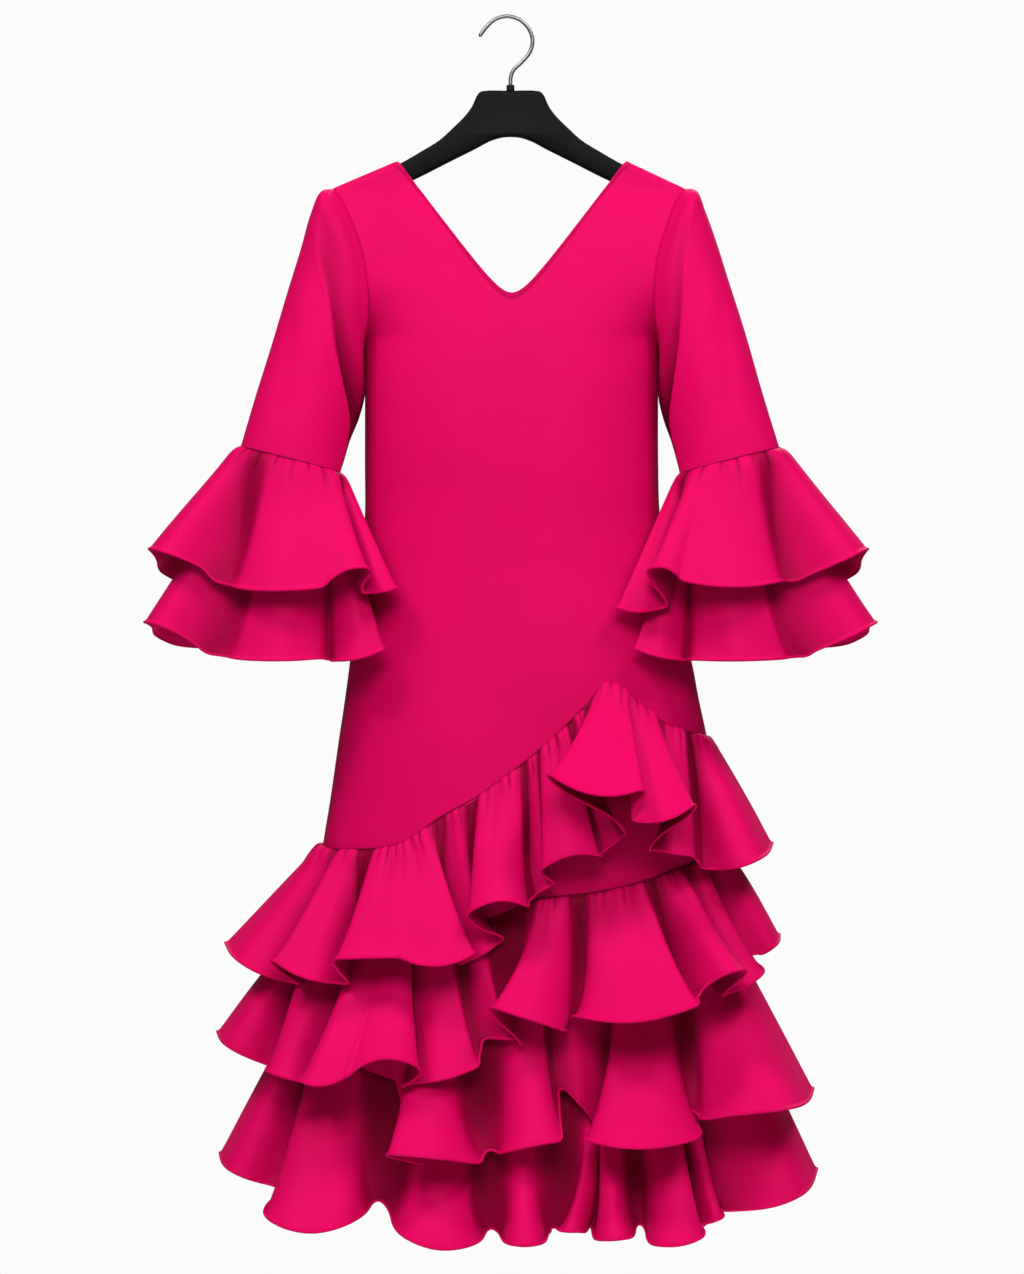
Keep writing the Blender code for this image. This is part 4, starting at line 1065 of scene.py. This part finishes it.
def flounce(number, side, crepes):
    tier = TIERS[number]
    seam_rows = tier.seam_front if side == "front" else tier.seam_back
    seam_z = smooth_table(seam_rows, 0, 1)
    line = flounce_line(side, tier, seam_rows)
    down = rows_down(FLOUNCE_ROWS)
    places = tier_surface(side, tier, seam_z, line, down)
    valley_shade = line[:, 5]
    if side == "back":
        places = np.fliplr(places)
        valley_shade = valley_shade[::-1]
    run = np.broadcast_to(run_of(places, 1)[-1:], places.shape[:2]) + seam_rows[0][1]
    fall = fall_of(places)
    puffs, pinches = gather_wave(FLOUNCE_GATHERS, run, fall)
    pleats, creases = gather_wave(FLOUNCE_PLEATS, run, fall)
    amount = tier.puffs * (puffs + pleats) * room_for_gathers(valley_shade)
    places = join_at_sides(push_out(places, amount + hem_lip(run_of(places, 0))))
    # painted shade in the valleys, the pinches of the gathers, the creases of the pleats and along the
    # seam
    shade = shade_of_folds(valley_shade, down, pinches + PLEAT_SHADE * tier.puffs * creases, fall)
    name = "flounce_%d_%s" % (number, side)
    piece = add_cloth(name + "_crepe", places, crepes.cloth, shade)
    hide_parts(name)
    hem_line = places[0] + outward(places)[0] * CLOTH / 2
    hem = add_cord(name + "_hem", hem_line, HEM_CORD, crepes.hem)
    seam = add_cord(name + "_seam", tier_seam(side, seam_z, line), SEAM_CORD, crepes.seam)


# ---- cuff flounces -----------------------------------------------------------------------------
def cuff_seam(side, place, turn, out):
    """Points outside the sleeve's wall: place is the ring, turn the share of the way round."""
    rings = SLEEVES[side]
    low = int(place)
    share = place - low
    above = rings[low]
    below = rings[min(low + 1, len(rings) - 1)]
    ring = Ring(*(between(p, q, share) for p, q in zip(above, below)))
    angle = 2 * math.pi * turn
    across = np.array([ring.outer - ring.inner, 0.0, ring.outer_z - ring.inner_z]) / 2
    middle = np.array([(ring.outer + ring.inner) / 2, ring.lean, (ring.outer_z + ring.inner_z) / 2])
    grow = 1 + out / np.linalg.norm(across)
    deep = (ring.depth + out) * np.sin(angle)
    return (middle + across * (grow * np.cos(angle))[..., None]
            + np.stack([0 * deep, -deep, 0 * deep], axis=-1))


def keep_beside(side, clear, x, y, z):
    """Hold a point of a cuff flounce clear of the body beside it."""
    depth = SHEATH_DEPTH["front" if y < 0 else "back"](z)
    half = oval(min(abs(y) / (depth + clear), 1.0))
    if side == "right":
        return float(min(x, (SHEATH_LEFT(z) - clear) * half))
    return float(max(x, (SHEATH_RIGHT(z) + clear) * half))


def cuff_back(side, cuff, clear):
    """The turns of a cuff flounce's hem round its back, from its right tip to its left tip."""
    centre = (cuff.left_tip[0] + cuff.right_tip[0]) / 2
    half = (cuff.right_tip[0] - cuff.left_tip[0]) / 2
    turns = []
    for k in range(cuff.back_folds):
        for share, crest in (*BACK_FOLD, (1.0, 0.0)):
            place = (k + share) / cuff.back_folds
            behind = math.sin(math.pi * place)
            x = centre + half * (1 - 0.1 * (1 - crest) * behind) * math.cos(math.pi * place)
            y = between(cuff.right_tip[1], cuff.left_tip[1], place) * (1 - behind)
            # a valley reaches out six tenths as far as a fold
            y += cuff.back_out * (0.6 + 0.4 * crest) * behind
            low = behind ** cuff.back_round
            z = between(between(cuff.right_tip[2], cuff.left_tip[2], place), cuff.back_z, low)
            z -= CUFF_VALLEY_RISE * (crest - 0.6) * low
            x = keep_beside(side, clear, x, y, z)
            # between the back's folds the cloth falls back and gets as much painted shade
            turns.append((x, y, z, 0.0, back_sink(crest), back_sink(crest)))
    return turns[:-1]


def cuff_line(side, cuff, clear):
    """The line of a cuff flounce's hem: its front from left to right, then its back."""
    front = hem_points(cuff.folds, (*cuff.left_tip, 0.0), (*cuff.right_tip, 0.0))
    back = cuff_back(side, cuff, clear)
    cells = hem_cells(len(front), CUFF_CELLS) + hem_cells(len(back) + 1, CUFF_BACK_CELLS)[:len(back)]
    return round_turns(curve_through(front + back, cells, closed=True), closed=True)


def share_round(line, right_tip):
    """Share of the way round of each point of a hem: up to 0.5 in front and on to 1 behind."""
    steps = np.linalg.norm(np.roll(line, -1, axis=0) - line, axis=1)
    lengths = np.concatenate([[0.0], np.cumsum(steps)])
    right_at = int(np.argmin(np.linalg.norm(line - np.array(right_tip), axis=1)))
    here = lengths[:-1]
    front = lengths[right_at]
    return np.where(np.arange(len(line)) <= right_at, 0.5 * here / front,
                    0.5 + 0.5 * (here - front) / (lengths[-1] - front))


def cuff_surface(side, layer, line, turn, down):
    """The inner face of a cuff flounce, closed all round; only the upper one is sunk at its seam."""
    cuff = CUFFS[side, layer]
    hem = line[:, :3]
    recess = line[:, 4]
    far = cuff_seam(side, cuff.seam_ring, turn, CUFF_OUT[layer])
    rows = []
    for share in down:
        close = near_seam(CUFF_LENGTH * share) if layer == "upper" else 0.0
        out = between(CUFF_OUT[layer], CLOTH - TUCKED, close)
        seam = cuff_seam(side, cuff.seam_ring, turn, out)
        reach = (hem - far) * (share ** cuff.power * (1 - recess * recess_profile(share)))[:, None]
        level = seam[:, 2] + (hem[:, 2] - far[:, 2]) * share
        rows.append(np.stack([seam[:, 0] + reach[:, 0], seam[:, 1] + reach[:, 1], level], axis=-1))
    places = np.array(rows)
    return np.concatenate([places, places[:, :1]], axis=1)


def cuff_flounce(side, layer, crepes):
    cuff = CUFFS[side, layer]
    line = cuff_line(side, cuff, BODY_CLEAR[layer])
    across = share_round(line[:, :3], cuff.right_tip)
    turn = across if side == "right" else 0.5 - across
    down = rows_down(CUFF_ROWS)
    places = cuff_surface(side, layer, line, turn, down)
    run = np.broadcast_to(run_of(places, 1)[-1:], places.shape[:2])
    fall = fall_of(places)
    puffs, pinches = gather_wave(CUFF_GATHERS, run, fall)
    pleats, creases = gather_wave(CUFF_PLEATS, run, fall)
    room = np.clip(np.minimum(run, run[:, -1:] - run) / CUFF_END, 0.0, 1.0)
    amount = (puffs + pleats) * room + hem_lip(run_of(places, 0))
    # painted shade in the cuff's valleys, its pinches, its pleats' creases and along its seam
    valley_shade = CUFF_SHADE * np.append(line[:, 5], line[0, 5])
    shade = shade_of_folds(valley_shade, down, pinches + CUFF_PLEAT_SHADE * creases, fall)
    places = push_out(places, amount, closed=True)
    places[:, -1] = places[:, 0]
    name = "cuff_%s_%s" % (layer, side)
    piece = add_cloth(name + "_crepe", places, crepes.cloth, shade, closed=True)
    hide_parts(name)
    hem_line = (places[0] + outward(places, closed=True)[0] * CLOTH / 2)[:-1]
    trims = [add_cord(name + "_hem", hem_line, HEM_CORD, crepes.hem, closed=True)]
    if layer == "upper":
        seam_line = cuff_seam(side, cuff.seam_ring, turn, CLOTH + 0.3) + np.array([0.0, 0.0, SEAM_CORD])
        trims.append(add_cord(name + "_seam", seam_line, SEAM_CORD, crepes.seam, closed=True))


# ---- hanger and hook ---------------------------------------------------------------------------
def hanger_outline():
    """The hanger's outline all round, in metres, from the right half and its mirror image."""
    top = curve_through([(x, z, 0.0) for x, z in HANGER_TOP], [6])
    bottom = curve_through([(x, z, 0.0) for x, z in HANGER_BOTTOM], [6])
    half = np.concatenate([top, bottom])
    mirrored = half[1:-1][::-1] * np.array([-1.0, 1.0, 1.0])
    return [(x * MM, z * MM, 0.0, 1.0) for x, z, _ in np.concatenate([half, mirrored])]


def hanger(material):
    """A flat moulding with rounded edges, cut to its outline and stood upright."""
    drop_selection()
    curve = bpy.data.curves.new("hanger_moulding", "CURVE")
    curve.dimensions = "2D"
    curve.fill_mode = "BOTH"
    curve.extrude = (HANGER_THICK / 2 - HANGER_EDGE) * MM
    curve.bevel_depth = HANGER_EDGE * MM
    curve.offset = -HANGER_EDGE * MM
    curve.bevel_resolution = 4
    piece = curve_to_mesh("hanger_moulding", curve, hanger_outline(), closed=True)
    piece.rotation_euler = (math.pi / 2, 0.0, 0.0)
    piece.location = (STEM_X * MM, 0.0, 0.0)
    bpy.ops.object.transform_apply(location=True, rotation=True, scale=True)
    merge_doubles()
    bpy.ops.object.mode_set(mode="EDIT")
    bpy.ops.mesh.select_all(action="SELECT")
    bpy.ops.mesh.normals_make_consistent(inside=False)
    bpy.ops.object.mode_set(mode="OBJECT")
    finish(piece, material, MOULDING_SHARP)
    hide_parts("hanger")


def hook(material):
    """The bent wire, with its open end rounded off."""
    radius = HOOK_WIRE / 2
    points = curve_through([(bend.x, 0.0, bend.z) for bend in HOOK_LINE], [10])
    line = []
    for point in points:
        share = min(float(np.linalg.norm(point - points[0])) / radius, 1.0)
        line.append((*point, max(math.sqrt(1 - (1 - share) ** 2), HOOK_TIP)))
    piece = add_cord("hook_wire", line, radius, material, centre=0.0, sides=6)
    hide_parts("hook")


def dish_top(piece):
    """Sink a shallow dish in the top of an upright cylinder; its underside bulges as much."""
    for face in piece.data.polygons:
        face.select = abs(face.normal.z) > 0.9
    bpy.ops.object.mode_set(mode="EDIT")
    bpy.ops.mesh.inset(thickness=COLLAR_RIM * MM)
    bpy.ops.mesh.inset(thickness=COLLAR_SLOPE * MM)
    bpy.ops.transform.translate(value=(0.0, 0.0, -COLLAR_DISH * MM))
    bpy.ops.object.mode_set(mode="OBJECT")


def hook_collar(material):
    """The short ring round the wire where it enters the hanger."""
    drop_selection()
    bottom = HANGER_TOP[0][1] + GAP
    height = COLLAR_TOP - bottom
    bpy.ops.mesh.primitive_cylinder_add(vertices=64, radius=COLLAR_OUTER / 2 * MM, depth=height * MM,
                                        location=(STEM_X * MM, 0.0, (COLLAR_TOP + bottom) / 2 * MM))
    piece = bpy.context.object
    piece.name = "hook_collar_ring"
    bpy.ops.object.transform_apply(location=True, rotation=True, scale=True)
    bpy.ops.object.mode_set(mode="EDIT")
    bpy.ops.mesh.select_all(action="DESELECT")
    bpy.ops.object.mode_set(mode="OBJECT")
    dish_top(piece)
    rounded = piece.modifiers.new("Rounded", "BEVEL")
    rounded.width = COLLAR_EDGE * MM
    rounded.segments = 3
    rounded.limit_method = "ANGLE"
    bpy.ops.object.modifier_apply(modifier="Rounded")
    finish(piece, material, MOULDING_SHARP)
    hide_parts("hook_collar")


# ---- materials ---------------------------------------------------------------------------------
def new_material(name, roughness, metallic=0.0):
    """A finish with its nodes, its links and the shader that they lead to."""
    material = bpy.data.materials.new(name)
    material.use_nodes = True
    nodes = material.node_tree.nodes
    shader = nodes["Principled BSDF"]
    shader.inputs["Roughness"].default_value = roughness
    shader.inputs["Metallic"].default_value = metallic
    return material, nodes, material.node_tree.links, shader


def noise(nodes, links, vector, scale):
    """A cloudy or grainy pattern, finer as its scale is larger."""
    node = nodes.new("ShaderNodeTexNoise")
    node.inputs["Scale"].default_value = scale
    node.inputs["Detail"].default_value = 2.0
    node.inputs["Roughness"].default_value = 0.55
    links.new(vector, node.inputs["Vector"])
    return node.outputs["Fac"]


def cloudy_tone(nodes, links, cloud, dark, light):
    """A colour that wanders between two tones with a cloudy pattern."""
    node = nodes.new("ShaderNodeValToRGB")
    links.new(cloud, node.inputs["Fac"])
    for stop, position, tone in zip(node.color_ramp.elements, (0.3, 0.7), (dark, light)):
        stop.position = position
        stop.color = (*tone, 1.0)
    return node.outputs["Color"]


def arithmetic(nodes, links, operation, a, b):
    """Add or multiply two values, each a number or the output of a node."""
    node = nodes.new("ShaderNodeMath")
    node.operation = operation
    for socket, value in zip(node.inputs, (a, b)):
        if isinstance(value, float):
            socket.default_value = value
        else:
            links.new(value, socket)
    return node.outputs["Value"]


def add_bump(nodes, links, shader, height, strength, distance):
    """Give a finish the relief of a height pattern."""
    node = nodes.new("ShaderNodeBump")
    node.inputs["Strength"].default_value = strength
    node.inputs["Distance"].default_value = distance
    links.new(height, node.inputs["Height"])
    links.new(node.outputs["Normal"], shader.inputs["Normal"])


def darken_by_painted_shade(nodes, links, tone):
    """Paint shade into a colour: darken it by the painted shade that the sheet's points hold."""
    painted_shade = nodes.new("ShaderNodeAttribute")
    painted_shade.attribute_name = "painted_shade"
    darker = nodes.new("ShaderNodeMix")
    darker.data_type = "RGBA"
    darker.blend_type = "MULTIPLY"
    links.new(painted_shade.outputs["Fac"], darker.inputs["Factor"])
    links.new(tone, darker.inputs["A"])
    # at full painted shade the colour is multiplied by this, which also turns it redder
    darker.inputs["B"].default_value = (0.24, 0.08, 0.16, 1.0)
    return darker.outputs["Result"]


def crepe_weave(nodes, links, weave, slub):
    """The height of the crepe's skin: ribs of the weft, a fine pebbled grain and slubs."""
    weft = nodes.new("ShaderNodeTexWave")
    weft.bands_direction = "Y"
    weft.inputs["Scale"].default_value = 420.0
    weft.inputs["Distortion"].default_value = 1.6
    weft.inputs["Detail"].default_value = 1.0
    links.new(weave, weft.inputs["Vector"])
    grain = noise(nodes, links, weave, 900.0)
    ribs = arithmetic(nodes, links, "MULTIPLY", weft.outputs["Fac"], 0.35)
    slubs = arithmetic(nodes, links, "MULTIPLY", slub, 0.5)
    return arithmetic(nodes, links, "ADD", ribs, arithmetic(nodes, links, "ADD", grain, slubs))


def uneven_gloss(nodes, links, shader, pattern, low, high):
    """Let the roughness wander between two values with a pattern."""
    rough = nodes.new("ShaderNodeMapRange")
    rough.inputs["To Min"].default_value = low
    rough.inputs["To Max"].default_value = high
    links.new(pattern, rough.inputs["Value"])
    links.new(rough.outputs["Result"], shader.inputs["Roughness"])


def crepe_material(name, deep, clear):
    """Fuchsia crepe: a fine pebbled twist weave with a soft sheen and a faint cloudy tone, darkened where
    its piece holds painted shade.
    """
    material, nodes, links, shader = new_material(name, 0.55)
    places = nodes.new("ShaderNodeTexCoord")
    cloud = noise(nodes, links, places.outputs["Object"], 9.0)
    tone = cloudy_tone(nodes, links, cloud, deep, clear)
    links.new(darken_by_painted_shade(nodes, links, tone), shader.inputs["Base Color"])
    slub = noise(nodes, links, places.outputs["UV"], 160.0)
    height = crepe_weave(nodes, links, places.outputs["UV"], slub)
    add_bump(nodes, links, shader, height, 0.22, 0.0004)
    uneven_gloss(nodes, links, shader, slub, 0.46, 0.64)
    shader.inputs["Specular IOR Level"].default_value = 0.025
    shader.inputs["Sheen Weight"].default_value = 0.01
    shader.inputs["Sheen Roughness"].default_value = 0.5
    shader.inputs["Sheen Tint"].default_value = (1.0, 0.2, 0.5, 1.0)
    return material


def plastic_material(name, colour, roughness):
    """Moulded satin plastic with a fine grained skin."""
    material, nodes, links, shader = new_material(name, roughness)
    places = nodes.new("ShaderNodeTexCoord")
    skin = noise(nodes, links, places.outputs["Object"], 1400.0)
    cloud = noise(nodes, links, places.outputs["Object"], 40.0)
    # the moulding is a little darker in some places and lighter in others
    dark = tuple(0.85 * part for part in colour)
    light = tuple(1.2 * part for part in colour)
    links.new(cloudy_tone(nodes, links, cloud, dark, light), shader.inputs["Base Color"])
    add_bump(nodes, links, shader, skin, 0.12, 0.0002)
    shader.inputs["Specular IOR Level"].default_value = 0.06
    return material


def steel_material(name):
    """Drawn steel wire with a satin skin."""
    material, nodes, links, shader = new_material(name, 0.4, metallic=1.0)
    places = nodes.new("ShaderNodeTexCoord")
    cloud = noise(nodes, links, places.outputs["Object"], 60.0)
    tone = cloudy_tone(nodes, links, cloud, (0.17, 0.17, 0.175), (0.21, 0.21, 0.215))
    links.new(tone, shader.inputs["Base Color"])
    uneven_gloss(nodes, links, shader, cloud, 0.38, 0.44)
    return material


# ---- studio ------------------------------------------------------------------------------------
# places and sizes are in metres here, the lens in millimetres
CAMERA_AT = (0.00575, -4.5, -0.7113)
LENS = 110.6
FLOOR_Z = -1.78
FLOOR_RADIUS = 2.0
DRESS_MIDDLE = (0.0, 0.0, -0.75)


def soft_light(name, place, look_at, size, power):
    """A rectangular lamp that faces a point, sizes in metres."""
    light = bpy.data.lights.new(name, "AREA")
    light.shape = "RECTANGLE"
    light.size = size[0]
    light.size_y = size[1]
    light.energy = power
    obj = bpy.data.objects.new(name, light)
    bpy.context.scene.collection.objects.link(obj)
    obj.location = place
    aim = np.array(look_at) - np.array(place)
    obj.rotation_euler = (math.acos(-aim[2] / np.linalg.norm(aim)), 0.0,
                          math.atan2(aim[1], aim[0]) - math.pi / 2)


def level_camera():
    """A long lens in front of the dress, looking level."""
    camera = bpy.data.objects.new("camera", bpy.data.cameras.new("camera"))
    bpy.context.scene.collection.objects.link(camera)
    camera.location = CAMERA_AT
    camera.rotation_euler = (math.pi / 2, 0.0, 0.0)
    camera.data.sensor_fit = "VERTICAL"
    camera.data.sensor_height = 36.0
    camera.data.lens = LENS
    bpy.context.scene.camera = camera
    bpy.context.scene.view_settings.view_transform = "Standard"


def white_surroundings():
    """A pale background seen behind the dress, and a dim rosy light from all round."""
    world = bpy.data.worlds.new("studio")
    bpy.context.scene.world = world
    world.use_nodes = True
    nodes = world.node_tree.nodes
    links = world.node_tree.links
    nodes["Background"].inputs["Color"].default_value = (1.0, 0.80, 0.80, 1.0)
    nodes["Background"].inputs["Strength"].default_value = 0.16
    seen = nodes.new("ShaderNodeBackground")
    seen.inputs["Color"].default_value = (0.965, 0.96, 0.962, 1.0)
    rays = nodes.new("ShaderNodeLightPath")
    choose = nodes.new("ShaderNodeMixShader")
    links.new(rays.outputs["Is Camera Ray"], choose.inputs["Fac"])
    links.new(nodes["Background"].outputs["Background"], choose.inputs[1])
    links.new(seen.outputs["Background"], choose.inputs[2])
    links.new(choose.outputs["Shader"], nodes["World Output"].inputs["Surface"])


def pale_floor():
    drop_selection()
    bpy.ops.mesh.primitive_circle_add(vertices=96, radius=FLOOR_RADIUS, fill_type="NGON",
                                      location=(0.0, 0.0, FLOOR_Z))
    floor = bpy.context.object
    floor.name = "floor"
    material, _, _, shader = new_material("pale_floor", 0.8)
    shader.inputs["Base Color"].default_value = (0.9, 0.895, 0.9, 1.0)
    floor.data.materials.append(material)


def studio():
    level_camera()
    white_surroundings()
    soft_light("key", (0.0, -3.75, 1.6), DRESS_MIDDLE, (2.2, 1.6), 150.0)
    soft_light("left side", (-2.4, -1.8, 2.9), DRESS_MIDDLE, (1.2, 1.2), 128.0)
    soft_light("right side", (2.4, -1.8, 2.9), DRESS_MIDDLE, (1.2, 1.2), 118.0)
    soft_light("back", (0.6, 3.4, 1.6), (0.0, 0.0, -0.7), (2.2, 1.6), 105.0)
    pale_floor()


# ---- build -------------------------------------------------------------------------------------
Crepes = namedtuple("Crepes", "cloth hem seam")
fuchsia = Crepes(
    cloth=crepe_material("fuchsia_crepe", (0.50, 0.0008, 0.077), (0.54, 0.0011, 0.086)),
    hem=crepe_material("fuchsia_crepe_hem", (0.46, 0.0008, 0.070), (0.52, 0.0011, 0.082)),
    # painted shade: the seam crepe is far darker, so that the ridges along the seams read as their shade
    # lines
    seam=crepe_material("fuchsia_crepe_painted_seam_shade", (0.13, 0.0004, 0.017), (0.18, 0.0006, 0.024)))
black = plastic_material("black_moulding", (0.0015, 0.0015, 0.0016), 0.48)
collar_black = plastic_material("black_collar", (0.008, 0.008, 0.009), 0.5)
steel = steel_material("drawn_steel")

for panel_side in ("front", "back"):
    sheath_panel(panel_side, fuchsia)
for arm in ("right", "left"):
    sleeve(arm, fuchsia)
    for cuff_layer in ("upper", "lower"):
        cuff_flounce(arm, cuff_layer, fuchsia)
for tier_number in (1, 2, 3, 4):
    for panel_side in ("front", "back"):
        flounce(tier_number, panel_side, fuchsia)
hanger(black)
hook_collar(collar_black)
hook(steel)
studio()
